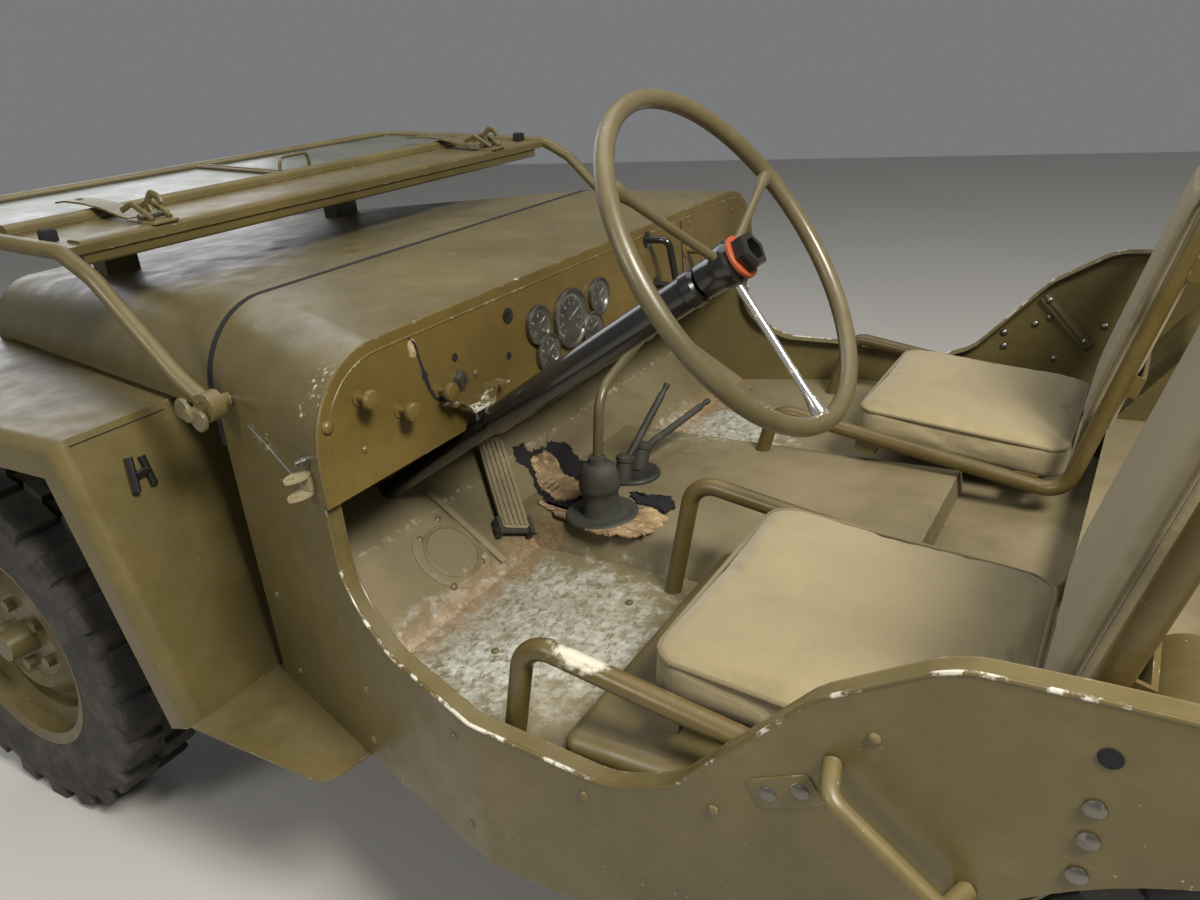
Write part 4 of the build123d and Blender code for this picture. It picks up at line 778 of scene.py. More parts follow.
def dash_fittings():
    """Pull knobs, switch, plugs, screws, the passenger's grab handles and the small seams of the panel."""
    fit = fitting("dash_fittings", paint_dash, black, dull_steel, black_and_painted_shade)
    knob = [
        (-1, 9.5), (2, 9.5), (3, 4.5), (17, 4.2), (18, 10), (20, 12.5), (25, 13.2), (28.5, 11.8), (30, 7),
        (30.2, 0)
    ]
    fit.turn(0, knob, on_dash((599, 950), (532, 909), (453, 909)), BACK, 24)
    screw = [(-0.5, 8.5), (1.5, 8.5), (4.5, 7), (6.2, 4), (6.6, 0)]
    fit.turn(0, screw, on_dash((655, 932), (-655, 932)), BACK, 18)
    small = [(-0.5, 4.8), (1, 4.8), (2.8, 3), (3.2, 0)]
    spots = [(368, 906), (603, 882), (-260, 985), (-352, 985), (-560, 972), (-560, 868), (-352, 868)]
    fit.turn(0, small, on_dash(*spots), BACK, 12)
    fit.turn(2, [(-0.5, 14), (2, 14), (3, 11), (8, 10), (9, 6.5), (9.2, 0)], on_dash((405, 908)), BACK, 24)
    # The switch's slot, the open holes and the glove box seam are flat black: painted shade.
    slot = on_dash((405, 903), (405, 913)) - (0.0094, 0, 0)
    fit.bars(3, slot[:1], slot[1:], (0, 0.001, 0), (-0.0004, 0, 0))
    fit.turn(3, [(-0.2, 6), (0.6, 6), (0.6, 0)], on_dash((408, 942), (286, 906), (474, 937)), BACK, 18)
    fit.turn(1, [(-0.5, 12), (1.8, 12), (3, 9), (3.2, 0)], on_dash((277, 966)), BACK, 24)
    seam = on_dash((-312, 994), (-312, 836))
    fit.tube(3, seam - (0.0003, 0, 0), 0.0013, 6, (1, 0, 0))
    for a, b, finish in (((-170, 988), (-195, 897), 1), ((-331, 934), (-279, 876), 0)):
        foot, head = on_dash(a)[0], on_dash(b)[0]
        off = np.array([-0.045, 0, 0])
        grip = rounded([foot, foot + off, head + off, head], 0.014, 0.004)
        fit.tube(finish, grip, 0.0068, 14, (0, 1, 0.3))
        fit.turn(finish, [(-0.5, 15), (2, 15), (4, 9), (4, 0)], [foot, head], BACK, 20)
    fit.done()


dash_fittings()


def torn_patch():
    """The damaged place on the panel: a raw scar with a ragged outline and a tear wandering from it, drawn as
    a black line of painted shade.
    """
    patch = fitting("dash_torn_patch", raw_edge, black_and_painted_shade, paint_dash)
    flat = ((0, 1, 0), (0, 0, -1))
    scar = ragged(0.0075, 0.015, 3, 40, 0.12)
    patch.plate(0, scar, (FACE, 0.489, 0.98), *flat, -0.0004, 0.0009, 0.0006)
    tear = [
        (494, 996), (484, 985), (480, 966), (476, 948), (474, 937), (468, 915), (460, 901), (446, 894),
        (424, 896)
    ]
    width = np.array([1.2, 3.4, 2.2, 2.6, 4.2, 3.0, 3.6, 4.2, 1.2]) / 1000
    path = even(on_dash(*tear), 0.003)
    width = np.interp(np.linspace(0, 1, len(path)), np.linspace(0, 1, len(width)), width)
    # The tear: a flat black line of painted shade.
    patch.tube(1, path - (0.0002, 0, 0), width, 8, (1, 0, 0), 0.4)
    patch.plate(0, ragged(0.01, 0.006, 5), (FACE, 0.44, 0.9), *flat, 0.0004, 0.0012, 0.0005)
    patch.done()


torn_patch()

# Edges of the body: beads with chipped paint, and rows of rivets

PLAN_X = np.array([-1.49, -0.091, 0.146, 0.453])
PLAN_Y = np.array([0.746, 0.746, 0.676, 0.578])


def wall_y(x):
    """Half width of the body at x, by the plan's straight runs."""
    return np.interp(x, PLAN_X, PLAN_Y)


def arch(x, skin=0.0, low=0.832, steps=10):
    """The cowl and hood section at x: up the side, round the shoulder and over the top to the other side."""
    stations = [(146, 676, 1012, 121), (453, 578, 1030, 121), (1350, 408, 985, 95)]
    at, *rows = np.array(stations).T / 1000
    half, top, corner = (np.interp(x, at, row) - skin for row in rows)
    return bend([(x, half, low), (x, half, top), (x, -half, top), (x, -half, low)], corner, steps)


CUT_OUT = [
    (156, 831.8), (156, 712), (70, 655), (-270, 620), (-345, 650), (-490, 803), (-600, 868), (-700, 870)
]


def cut_out_path(side, inward, lift=0.0):
    """The door cut-out's upper edge on one side, from the panel's corner to the rear, in from the skin."""
    flat = bend([(x / 1000, 0, z / 1000) for x, z in CUT_OUT], 0.1, 12)
    flat = np.concatenate([flat, [(-1.49, 0, 0.87)]])
    p = even(flat, 0.006)
    p[:, 1] = side * (wall_y(p[:, 0]) - inward)
    p[:, 2] += lift
    return p


def body_edges():
    """Thin beads along the cut-outs, the panel's outline and the cowl's rear edge."""
    for side, word in SIDES:
        edge = fitting(f"{word}_cut_out_bead", paint_chipped, paint)
        edge.tube(0, cut_out_path(side, 0.0012, -0.0008), 0.0024, 8, (0, 1, 0))
        edge.tube(1, cut_out_path(side, 0.0228, -0.0016), 0.002, 8, (0, 1, 0))
        edge.done()
    rim = fitting("cowl_edge_bead", paint_rubbed, paint_dash, gap_shadow, bright)
    band = [
        arch(x, skin)
        for x, skin in ((0.4505, 0.004), (0.4505, -0.0008), (0.4645, -0.0008), (0.4645, 0.004))
    ]
    rim.add(np.stack(band, 1), 2)
    # A thin bright steel line low on each cowl side: a painted highlight along its lower edge.
    seam = np.array([(0.345, 0.6135, 0.892), (0.3, 0.6278, 0.878), (0.232, 0.6495, 0.853)])
    for side in (1, -1):
        rim.tube(3, even(seam * (1, side, 1), 0.006), 0.0012, 8, (1, 0, 0))
    rim.tube(0, even(arch(0.1455, 0.0008), 0.008), 0.0026, 8, (1, 0, 0))
    rim.tube(1, even(arch(0.1428, 0.015, 0.845), 0.008), 0.0016, 6, (1, 0, 0), 0.7)
    rim.done()


body_edges()


def firewall():
    """The toe board's upper part and the upright sheet behind the panel, which close the cabin's front."""
    wall = fitting("firewall_sheet", paint_floor, paint)
    slope = [(0.2955, 0.6505), (0.449, 0.7795), (0.4515, 0.7775), (0.2975, 0.6482)]
    rows = [[(x, side * (wall_y(x) - 0.0035), z) for x, z in slope] for side in (1, -1)]
    wall.add(np.array(rows), 0)
    outline = arch(0.449, 0.004, 0.779)[:, 1:]
    wall.add(np.stack([np.column_stack([np.full(len(outline), x), outline]) for x in (0.449, 0.4515)]), 1)
    wall.done()


firewall()


def on_wall(side, pairs, out=0.0):
    """Points on one side panel's outer face, from (x, z) pairs in millimetres, or out from it."""
    x, z = np.array(pairs, float).T / 1000
    return np.column_stack([x, side * (wall_y(x) + out), z])


def quarter_straps():
    """Inside each rear quarter: a slanting strap plate held by screws, with loose screw heads round it."""
    head = [(-0.5, 7.5), (1.2, 7.2), (3, 5), (4, 2.2), (4.2, 0)]
    inside, thick = 0.7425, 0.01
    loose = [(-464, 707), (-491, 723), (-404, 684), (-406, 654), (-507, 634), (-595, 711)]
    for side, word in SIDES:
        strap = fitting(f"{word}_quarter_strap", paint_rim, dull_steel)
        top, foot = np.array([[-0.48, side * inside, 0.772], [-0.57, side * inside, 0.668]])
        half = np.cross(unit(foot - top), (0, 1, 0)) * 0.012
        strap.bars(0, top[None], foot[None], half, np.array([0, -side * thick, 0]))
        strap.tube(0, np.array([top, foot]) - (0, side * 0.0095, 0), 0.0052, 12, (0, 1, 0), 0.6)
        x, z = np.array(loose + [(-488, 762), (-562, 679)]).T / 1000
        at = np.column_stack([x, np.full(len(x), side * inside), z])
        at[-2:, 1] -= side * thick
        strap.turn(1, head, at, (0, -side, 0), 14)
        strap.done()


quarter_straps()


def rivets():
    """Round heads in rows on the tub's sides, a small slanted plate with two screws, and dull spots."""
    head = [(-0.5, 6.2), (1.2, 6), (3, 4.2), (3.8, 1.8), (4, 0)]
    low = [(-0.5, 8.5), (1, 8.4), (2.4, 6.2), (3, 0)]
    upper = [
        (-55, 600), (-239, 596), (-390, 640), (-541, 780), (-1000, 845), (-1250, 845), (-1440, 845),
        (-1440, 700)
    ]
    lower = [(-300, 470), (-60, 470), (160, 470), (380, 470), (150, 560), (400, 600), (-430, 470)]
    shiny = [(-447, 684), (-478, 699), (-705, 774), (-704, 742), (-700, 705)]
    pad = rounded_box(0.034, 0.017, 0.008, 32) @ np.array([[0.9, 0.43], [-0.43, 0.9]])
    for side, word in SIDES:
        rows = fitting(f"{word}_side_rivets", paint, dull_steel, black_and_painted_shade)
        rows.turn(0, head, on_wall(side, upper + lower), (0, side, 0), 14)
        rows.turn(1, low, on_wall(side, shiny, 0.0014), (0, side, 0), 16)
        at = (-0.4625, side * 0.746, 0.6915)
        rows.plate(0, pad, at, (1, 0, 0), (0, 0, -side), -0.0002, 0.0016, 0.0006)
        rows.turn(2, [(-0.2, 9), (1.2, 9), (1.6, 0)], (-0.71, side * 0.746, 0.823), (0, side, 0), 16)
        rows.done()


rivets()


def bracket_ears():
    """Mirror bracket: two pointed oval ears with a round hole each, on a small block, and a bolt above."""
    bracket = fitting("mirror_bracket_ears", paint_dusty_and_highlight, dull_steel)
    a = np.linspace(0, 2 * math.pi, 48, endpoint=False)
    pointed = 0.012 * np.sin(a) * (1 - 0.25 * np.clip(np.cos(a), 0, 1) ** 2)
    x, hole_y, hole_r = 0.184, 0.69187, 0.0052
    oval = np.stack([x + pointed, 0.68 + 0.0215 * np.cos(a)], 1)
    hole = np.stack([x + hole_r * np.sin(a), hole_y + hole_r * np.cos(a)], 1)
    for z in (0.847, 0.871):
        rows = ((hole, z - 0.002), (oval, z - 0.002), (oval, z + 0.002), (hole, z + 0.002))
        ear = [np.column_stack([line, np.full(len(line), level)]) for line, level in rows]
        bracket.add(np.stack(ear), 0, loop=True)
    block = rounded_box(0.0105, 0.0068, 0.003, 24)
    bracket.plate(0, block, (x, 0.6665, 0), (1, 0, 0), (0, 1, 0), 0.85, 0.868)
    bolt = [(-2, 8.5), (3, 8.5), (4, 6), (10, 5.8), (11, 3.8), (17, 3.6), (17.5, 0)]
    bracket.turn(1, bolt, (0.178, wall_y(0.178), 0.889), (0.2, 1, 0), 12)
    bracket.done("mirror_bracket")


bracket_ears()

# Floor: cover plate, accelerator, levers and boots, torn sheet

FLOOR_TOP, TOE_FOOT = 0.545, 0.17
TOE = math.radians(40.0)
TOE_OUT = np.array([-math.sin(TOE), 0, math.cos(TOE)])


def on_toe(y, z, off=0.0):
    """A point on the sloping toe board, from its y and z."""
    return np.array([TOE_FOOT + (z - FLOOR_TOP) / math.tan(TOE), y, z]) + off * TOE_OUT


def floor_fittings():
    """Round cover plate with its screws, ribbed accelerator on its hinge, and screws in the floor."""
    fit = fitting("floor_fittings", paint_floor, steel, boot_rubber, paint, paint_dusty_and_highlight)
    ring = [
        (-0.5, 68), (1.6, 68), (2.6, 66), (2.6, 51.5), (5, 49.5), (6.4, 47), (5, 44.5), (2.6, 43),
        (2.6, 0)
    ]
    fit.turn(0, ring, on_toe(0.381, 0.598), TOE_OUT, 56)
    # A pale bead over the cover ring's ridge: a painted highlight.
    fit.turn(4, [(5, 48.2), (6.8, 47), (5, 45.8)], on_toe(0.381, 0.598), TOE_OUT, 56)
    head = [(0, 6.2), (2.2, 6), (4.2, 3.6), (4.6, 0)]
    cover = ((355, 635), (322, 608), (411, 628), (351, 571), (428, 568))
    fit.turn(3, head, [on_toe(y / 1000, z / 1000, 0.001) for y, z in cover], TOE_OUT, 14)
    floor = ((55, 516), (53, -221), (-60, 330), (-200, 560), (-60, -560), (120, 610), (120, -600))
    fit.turn(3, head, [(x / 1000, y / 1000, FLOOR_TOP) for x, y in floor], (0, 0, 1), 14)
    low, high = np.array([0.203, 0.262, 0.577]), np.array([0.322, 0.158, 0.686])
    along = unit(high - low)
    out = unit(np.cross(along, (0, 1, 0)))
    side = np.cross(out, along)
    middle = (low + high) / 2 + out * 0.016
    length = np.linalg.norm(high - low) / 2
    fit.plate(4, rounded_box(0.027, length, 0.01, 40), middle, side, along, -0.003, 0.003, 0.0015)
    place = side * np.linspace(-0.02, 0.02, 5)[:, None] + middle + out * 0.0028
    reach = along * (length - 0.006)
    fit.bars(4, place - reach, place + reach, side * 0.0026, out * 0.0034)
    fit.tube(2, [low + side * 0.036, low - side * 0.036] + out * 0.01, 0.0055, 12, (0, 0, 1))
    for shift in (0.03, -0.03):
        foot = (low + side * shift)[None]
        fit.bars(2, foot - along * 0.01, foot + along * 0.022, side * 0.004, out * 0.02)
    spike = low - side * np.array([[0.034], [0.06]]) + out * 0.01
    fit.tube(1, spike, np.array([0.0048, 0.002]), 10, (0, 0, 1))
    # A strip on the toe board, made pale as a painted highlight along its edge.
    strip = np.array([on_toe(0.33, 0.668, 0.0015), on_toe(0.318, 0.556, 0.0015)])
    fit.bars(4, strip[:1], strip[1:], np.array([0, 0.006, 0]), TOE_OUT * 0.004)
    fit.done()


floor_fittings()

TUNNEL_TOP = 0.597


def levers():
    """Gear lever bent over at its top in a stepped boot; two thin transfer levers in stub boots."""
    rods = Piece("shift_levers", "vehicle_body", "black_rubber", boot_rubber, paint_rim, dull_steel, black)
    up = (0, 0, 1)
    rim = [(-1, 62), (3, 62.5), (6.5, 60), (7, 56), (5, 52), (4.8, 40)]
    drum = [(6, 34.5), (12, 32.5), (40, 30), (45, 31), (50, 34.5), (55, 35)]
    crown = [(78, 32.5), (88, 29), (94, 23.5), (96, 17), (101, 15), (106, 14.5), (108, 9)]
    rods.add(lathe(rim + drum + crown, (0.074, 0.174, TUNNEL_TOP), up, 44), 0)
    disc = [(-1, 48), (4, 48.5), (7.5, 46), (8, 42), (5.5, 38), (6, 0)]
    rods.turn(0, disc, (0.098, 0.016, TUNNEL_TOP), up, 44)
    main = rounded([(0.074, 0.174, 0.69), (0.074, 0.15, 0.808), (0.08, -0.03, 0.855)], 0.06, 0.006, 12)
    rods.tube(1, main, 0.0086, 16, (1, 0, 0))
    ball = [(-14, 6), (-12, 10.5), (-6, 14.5), (0, 16), (6, 14.8), (11, 11.8), (15, 6), (16, 0)]
    rods.turn(3, ball, main[-1], main[-1] - main[-3], 28)
    ends = [[(98, 46, 632), (60, -62, 751)], [(98, -16, 632), (45, -200, 671)]]
    for foot, tip in np.array(ends) / 1000:
        lean = unit(tip - foot)
        stub = [(-34, 17.5), (-20, 17), (-6, 16), (4, 15.5), (6, 17.8), (13, 17.8), (15, 15), (18, 8)]
        rods.add(lathe(stub, foot, 0.45 * lean + up, 24), 0)
        share = np.array([0.0, 0.55, 0.86, 0.89, 0.93, 0.96, 1.0])[:, None]
        thick = np.array([7.2, 7.0, 6.6, 5.0, 4.4, 6.2, 5.6]) / 1000
        rods.tube(0, foot + (tip - foot) * share, thick, 14, (1, 0, 0))
    rods.done("gear_levers")


levers()


def torn(points, seed, rough):
    """A torn outline: straight runs between the given corners, in mm, each point moved a little at random."""
    p = np.array(points + points[:1]) / 1000
    p = even(np.column_stack([p, np.zeros(len(p))]), 0.006)[:-1, :2]
    return p + np.random.default_rng(seed).normal(0, rough, p.shape)


def sheet_on(piece, outline, low, high, finish):
    """A thin plate laid over the tunnel's top and the toe board's foot, whichever is higher: the outline
    shrunk towards its middle in rings, at two heights."""
    rows = [(k, low) for k in (0.0, 0.35, 0.7, 1.0)] + [(k, high) for k in (1.0, 0.7, 0.35, 0.0)]
    middle = outline.mean(0)
    rings = []
    for k, h in rows:
        flat = middle + (outline - middle) * k
        ground = np.maximum(TUNNEL_TOP, FLOOR_TOP + (flat[:, 0] - TOE_FOOT) * math.tan(TOE))
        rings.append(np.column_stack([flat, ground + h]))
    piece.add(np.stack(rings), finish, ends=False)


def torn_tunnel():
    """Torn sheet by the boot: an opening with a loose slit flap, ragged plates round it, a small tear; the
    black sheets in the opening and round it are painted shade.
    """
    area = fitting("tunnel_torn_sheet", black_and_painted_shade, raw_edge, paint_floor)
    hole = [
        (271, 112), (282, 79), (280, 15), (259, -16), (238, -9), (198, 1), (158, 83), (124, 146), (130, 190),
        (157, 200), (217, 150),
    ]
    flap = [
        (270, 96), (271, 46), (251, 42), (220, 67), (157, 92), (140, 124), (150, 155), (176, 165), (238, 124),
    ]
    near = [
        (201, 180), (164, 200), (115, 216), (63, 236), (30, 240), (-4, 233), (-28, 221), (-40, 185),
        (-38, 151), (2, 130), (23, 142), (60, 200), (130, 185),
    ]
    small = [(66, 92), (47, 86), (-8, 79), (-32, 108), (-28, 138), (10, 121), (35, 122)]
    left = [(303, 72), (278, 82), (268, 108), (282, 128), (300, 106)]
    sheets = (
        (hole, 11, 0.0035, -0.0004, 0.001, 0), (flap, 12, 0.0016, 0.0012, 0.0052, 1),
        (near, 13, 0.0028, 0.0003, 0.0034, 1), (small, 14, 0.0022, 0.0004, 0.0042, 0),
        (left, 15, 0.0022, 0.0002, 0.0012, 0),
    )
    # Sheets with finish 0 (hole, small, left) are flat black: painted shade.
    for corners, seed, rough, low, high, finish in sheets:
        sheet_on(area, torn(corners, seed, rough), low, high, finish)
    slits = [[(228, 124), (228, 98)], [(213, 133), (212, 106)], [(198, 142), (196, 119)]]
    starts, ends = (np.insert(np.array(slits) / 1000, 2, TUNNEL_TOP + 0.005, 2)[:, k] for k in (0, 1))
    area.bars(0, starts, ends, (0.001, 0, 0), (0, 0, 0.0008))
    area.done()


torn_tunnel()

# Seats: cloth-simulated cushions with piped seams


CORNER, CROWN = 0.042, 0.1
PRESSURE, SWELL = 2.0, 0.0065


def cushion_form(half_u, half_v, thick, corner, crown):
    """Closed pad: a rounded rectangle's outline shrunk towards its middle on the flat faces and full at the
    sides, from the middle of the base out, up the side and in again over a slightly crowned top."""
    outline = rounded_box(half_u, half_v, corner, 96)
    rows = [
        (0.0, 0), (0.35, 0), (0.7, 0), (0.93, 0), (0.985, 0.05), (1, 0.16), (1.0, 0.5), (1, 0.84),
        (0.985, 0.95), (0.94, 1.0)
    ]
    rows += [(k, 1 + crown * (1 - k * k)) for k in (0.8, 0.6, 0.4, 0.2, 0.0)]
    return np.stack([np.column_stack([outline * k, np.full(len(outline), h * thick)]) for k, h in rows])


def puffed(piece, voxel, pressure, cap):
    """Swell a closed mesh as cloth under pressure, and hold each point within cap of where it began."""
    remesh = piece.modifiers.new("even_mesh", "REMESH")
    remesh.mode, remesh.voxel_size = "VOXEL", voxel
    view = bpy.context.view_layer
    view.update()
    piece.data = bpy.data.meshes.new_from_object(piece.evaluated_get(view.depsgraph))
    piece.modifiers.clear()
    start = np.zeros(len(piece.data.vertices) * 3)
    piece.data.vertices.foreach_get("co", start)
    cloth_mod = piece.modifiers.new("cloth", "CLOTH")
    cloth_mod.settings.use_pressure = True
    cloth_mod.settings.uniform_pressure_force = pressure
    cloth_mod.settings.effector_weights.gravity = 0
    cloth_mod.settings.bending_stiffness = 2.0
    cloth_mod.settings.quality = 4
    scene = bpy.context.scene
    for step in range(1, 21):
        scene.frame_set(step)
    swollen = bpy.data.meshes.new_from_object(piece.evaluated_get(view.depsgraph))
    end = np.zeros(len(start))
    swollen.vertices.foreach_get("co", end)
    piece.modifiers.clear()
    scene.frame_set(1)
    move = (end - start).reshape(-1, 3)
    far = np.linalg.norm(move, axis=1, keepdims=True)
    held = start.reshape(-1, 3) + move * np.minimum(1, cap / np.maximum(far, 1e-9))
    piece.data.vertices.foreach_set("co", held.reshape(-1))
    piece.data.update()


def cushion(name, node_size, origin, u, v, finish, voxel=0.006, seams=(0.9,)):
    """One padded cushion in its own plane: a puffed form, clamped to its CAD space, with piping laid on it
    at each seam's share of the height."""
    half_u, half_v, thick = node_size
    origin = np.asarray(origin, float)
    base = cushion_form(half_u - 0.004, half_v - 0.004, thick - 0.006, CORNER, CROWN)
    start = Piece(name, "vehicle_body", "canvas", finish)
    start.add(base, ends=False)
    piece = start.done()
    puffed(piece, voxel, PRESSURE, SWELL)
    p = np.zeros(len(piece.data.vertices) * 3)
    piece.data.vertices.foreach_get("co", p)
    p = p.reshape(-1, 3)
    p[:, 0] = np.clip(p[:, 0], -half_u - 0.004, half_u + 0.004)
    p[:, 1] = np.clip(p[:, 1], -half_v - 0.004, half_v + 0.004)
    p[:, 2] = np.where(p[:, 2] < thick * 0.5, np.maximum(p[:, 2], 0.0015), p[:, 2])
    p[:, 2] = np.minimum(p[:, 2], thick + 0.009)
    u, v = unit(u), unit(v)
    w = np.cross(u, v)
    turn = np.stack([u, v, w])
    piece.data.vertices.foreach_set("co", (p @ turn + origin).reshape(-1))
    piece.data.materials.clear()
    piece.data.materials.append(finish)
    piece.data.shade_smooth()
    piece.data.update()
    smooth = piece.modifiers.new("smooth", "SUBSURF")
    smooth.levels = smooth.render_levels = 1
    piping = Piece(f"{name}_piping", "vehicle_body", "canvas", cloth_seam)
    line = rounded_box(half_u, half_v, CORNER, 220)
    for height in seams:
        guess = np.column_stack([line, np.full(len(line), thick * height)])
        gap = ((guess[:, None] - p[None]) ** 2 * (1, 1, 3)).sum(-1)
        near = p[gap.argmin(1)]
        away = np.column_stack([unit(line), np.zeros(len(line))])
        path = near + away * 0.0012
        path = sum(np.roll(path, k, 0) for k in range(-4, 5)) / 9
        piping.add(tube(path @ turn + origin, 0.0028, 8, w, loop=True), loop=True)
    piping.done()
    return piece


def seats():
    """Front cushions and backs, and the bench's cushion and back, each in the plane its CAD solid has."""
    slope = math.radians(6.2)
    back = np.array([-math.cos(slope), 0, -math.sin(slope)])
    tilt = math.radians(17.0)
    lean = np.array([-math.sin(tilt), 0, math.cos(tilt)])
    places = (("driver", 0.485, -0.27, 0.0, 0.0), ("passenger", -0.405, -0.225, 0.058, 0.045))
    for word, y, front, drop, shift in places:
        middle = np.array([front, y, 0.685 - drop]) + back * 0.186
        pad = cushion(f"{word}_seat_cushion", (0.186, 0.195, 0.065), middle, back, (0, -1, 0), cloth)
        face = -0.64 + shift - 0.084 * math.tan(tilt) + 0.024 / math.cos(tilt)
        foot = np.array([face, y, 0.651 - drop + 0.084])
        out = np.array([math.cos(tilt), 0, math.sin(tilt)])
        middle = foot + lean * 0.21 - out * 0.048
        rest = cushion(f"{word}_seat_back", (0.18, 0.21, 0.048), middle, (0, 1, 0), lean, cloth_back)
        if word == "driver":
            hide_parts("front_seat_cushions")
            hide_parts("front_seat_backs")
    size, both = (0.18, 0.41, 0.09), (0.88, 0.12)
    bench = cushion("bench_cushion", size, (-1.09, 0, 0.7552), (-1, 0, 0), (0, -1, 0), cloth, 0.008, both)
    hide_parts("rear_seat_pads")
    a = math.radians(-14)
    out = np.array([math.cos(a), 0, -math.sin(a)])
    up = np.array([math.sin(a), 0, math.cos(a)])
    middle = np.array([-1.318, 0, 0.972]) - out * 0.03
    cushion("bench_back", (0.4, 0.095, 0.06), middle, (0, 1, 0), up, cloth_back, 0.007, both)


seats()

# Front: lamps


def headlamp_glass():
    """Each headlamp: a ribbed domed lens in a turned bright ring."""
    for side, word in SIDES:
        at = (1.35, side * 0.316, 0.82)
        lamp = Piece(f"{word}_headlamp_lens", "vehicle_body", "lamp_glass", lens, bright, mirror_metal)
        lamp.turn(0, [(-19, 72.4), (-12, 71), (-6, 55), (-2.5, 34), (-1, 0)], at, (1, 0, 0), 56)
        ring = [(-3.5, 83.5), (-0.5, 80), (0, 77.5), (-2, 73.5), (-8, 71.5), (-12, 72.5)]
        lamp.turn(1, ring, at, (1, 0, 0), 56)
        lamp.done()


headlamp_glass()


def tail_lamps():
    """Tail lamps: a turned painted body with a recessed red lens."""
    for side, word in SIDES:
        at = (-1.524, side * 0.64, 0.775)
        lamp = fitting(f"{word}_tail_lamp_lens", paint, red_lens)
        lamp.turn(0, [(-4, 37.5), (3, 37.5), (5.5, 35), (5, 31), (1, 30)], at, (-1, 0, 0), 40)
        lamp.turn(1, [(0.5, 30), (3, 24), (4.5, 12), (5, 0)], at, (-1, 0, 0), 40)
        lamp.done()


tail_lamps()

# Windshield rails, clamps and handle, and the wing nuts at its pivots

LIE = math.atan2(1.152 - 1.12, 1.153 - 0.655)
FORWARD = np.array([math.cos(LIE), 0, math.sin(LIE)])
ABOVE = np.array([-math.sin(LIE), 0, math.cos(LIE)])


def on_shield(s, y, h):
    """A point on the folded windshield: s forward from its rear bend, y across, h above its plane."""
    return np.array([0.655, 0, 1.12]) + s * FORWARD + np.array([0, y, 0]) + h * ABOVE


def shield_path(y, *pairs):
    """A path on the folded windshield at one y, from pairs of forward and above, in millimetres."""
    return np.array([on_shield(s / 1000, y, h / 1000) for s, h in pairs])


def shield_fittings():
    """Round rail at the panes' rear edge, boxed rail at the frame's lower edge, beads and centre handle."""
    rail = Piece("windshield_rails", "windshield", "olive_paint", paint, paint_rim, gap_shadow, dull_steel)
    path = np.array([on_shield(0.176, y, 0.006) for y in np.linspace(-0.6, 0.6, 41)])
    rail.tube(0, path, 0.0125, 20, (0, 0, 1))
    section = rounded_box(0.017, 0.0185, 0.007, 32)
    rows = [
        np.stack([on_shield(0.022 + a, y, -0.012 + b) for a, b in section])
        for y in (-0.585, -0.58, 0.58, 0.585)
    ]
    rail.add(np.stack(rows), 0)
    for s in (0.19, 0.478):
        bead = [on_shield(s, y, 0.006) for y in np.linspace(-0.59, 0.59, 21)]
        rail.tube(1, bead, 0.004, 10, (0, 0, 1))
    for y in (-0.59, -0.01, 0.01, 0.59):
        bead = [on_shield(s, y, 0.006) for s in np.linspace(0.19, 0.478, 21)]
        rail.tube(1, bead, 0.0034, 10, (0, 0, 1))
    foot = rounded_box(0.012, 0.01, 0.004, 24)
    for y in (-0.598, 0.598):
        rail.plate(2, foot, on_shield(0.06, y, 0.0), FORWARD, (0, 1, 0), 0.004, 0.022, 0.004)
    corners = ((200, 30, 8), (200, 26, 40), (206, -52, 40), (206, -56, 8))
    loop = [on_shield(s / 1000, y / 1000, h / 1000) for s, y, h in corners]
    rail.tube(1, rounded(loop, 0.012, 0.004), 0.0034, 12, (0.3, 0, 1))
    rail.done()
    for side, word in SIDES:
        clamp = Piece(f"{word}_windshield_clamp", "windshield", "olive_paint", paint, dull_steel)
        y = side * 0.44
        line = shield_path(y, (262, 20), (236, 24), (188, 24), (140, 20), (92, 10), (72, 8))
        half, thick = np.array([0, 0.019, 0]), ABOVE * 0.0032
        clamp.add(np.stack([line + half, line - half, line - half + thick, line + half + thick], 1), 0)
        clamp.turn(1, [(-1, 6), (1.2, 6), (2.4, 3), (2.5, 0)], on_shield(0.222, y, 0.0272), ABOVE, 16)
        base = rounded_box(0.036, 0.024, 0.006, 28)
        clamp.plate(0, base, on_shield(0.038, y, 0.0), FORWARD, (0, 1, 0), 0.0065, 0.01, 0.001)
        for shift in (-0.016, 0.016):
            arm = shield_path(y + shift, (88, 22), (60, 34), (30, 20), (14, 12))
            clamp.tube(0, rounded(arm, 0.006, 0.003, 5), 0.005, 10, (0, 1, 0), 0.6)
        hook = shield_path(y, (36, 12), (44, 34), (30, 50), (14, 46), (8, 36))
        clamp.tube(0, rounded(hook, 0.007, 0.003, 6), 0.0062, 12, (0, 1, 0), 0.5)
        pin = np.array([on_shield(0.034, y + k, 0.016) for k in (-0.026, 0.026)])
        clamp.tube(1, pin, 0.0052, 14, (0, 0, 1))
        clamp.done()


shield_fittings()


def wing(centre, side, turn_degrees):
    """A wing nut's outline grid: a boss and two flat lobes that swell outward, on an axle across the car."""
    a = np.linspace(0, 2 * math.pi, 64, endpoint=False)
    lobes = 0.0085 + 0.0225 * np.abs(np.cos(a)) ** 3
    flat = np.stack([lobes * np.cos(a), lobes * np.sin(a) * (1 + 0.5 * np.abs(np.cos(a)) ** 3)], 1)
    t = math.radians(turn_degrees)
    u = np.array([math.cos(t), 0, math.sin(t)])
    v = np.cross((0, side, 0), u)
    return plate(flat, centre, u, v, 0.0, 0.0062, 0.0016)


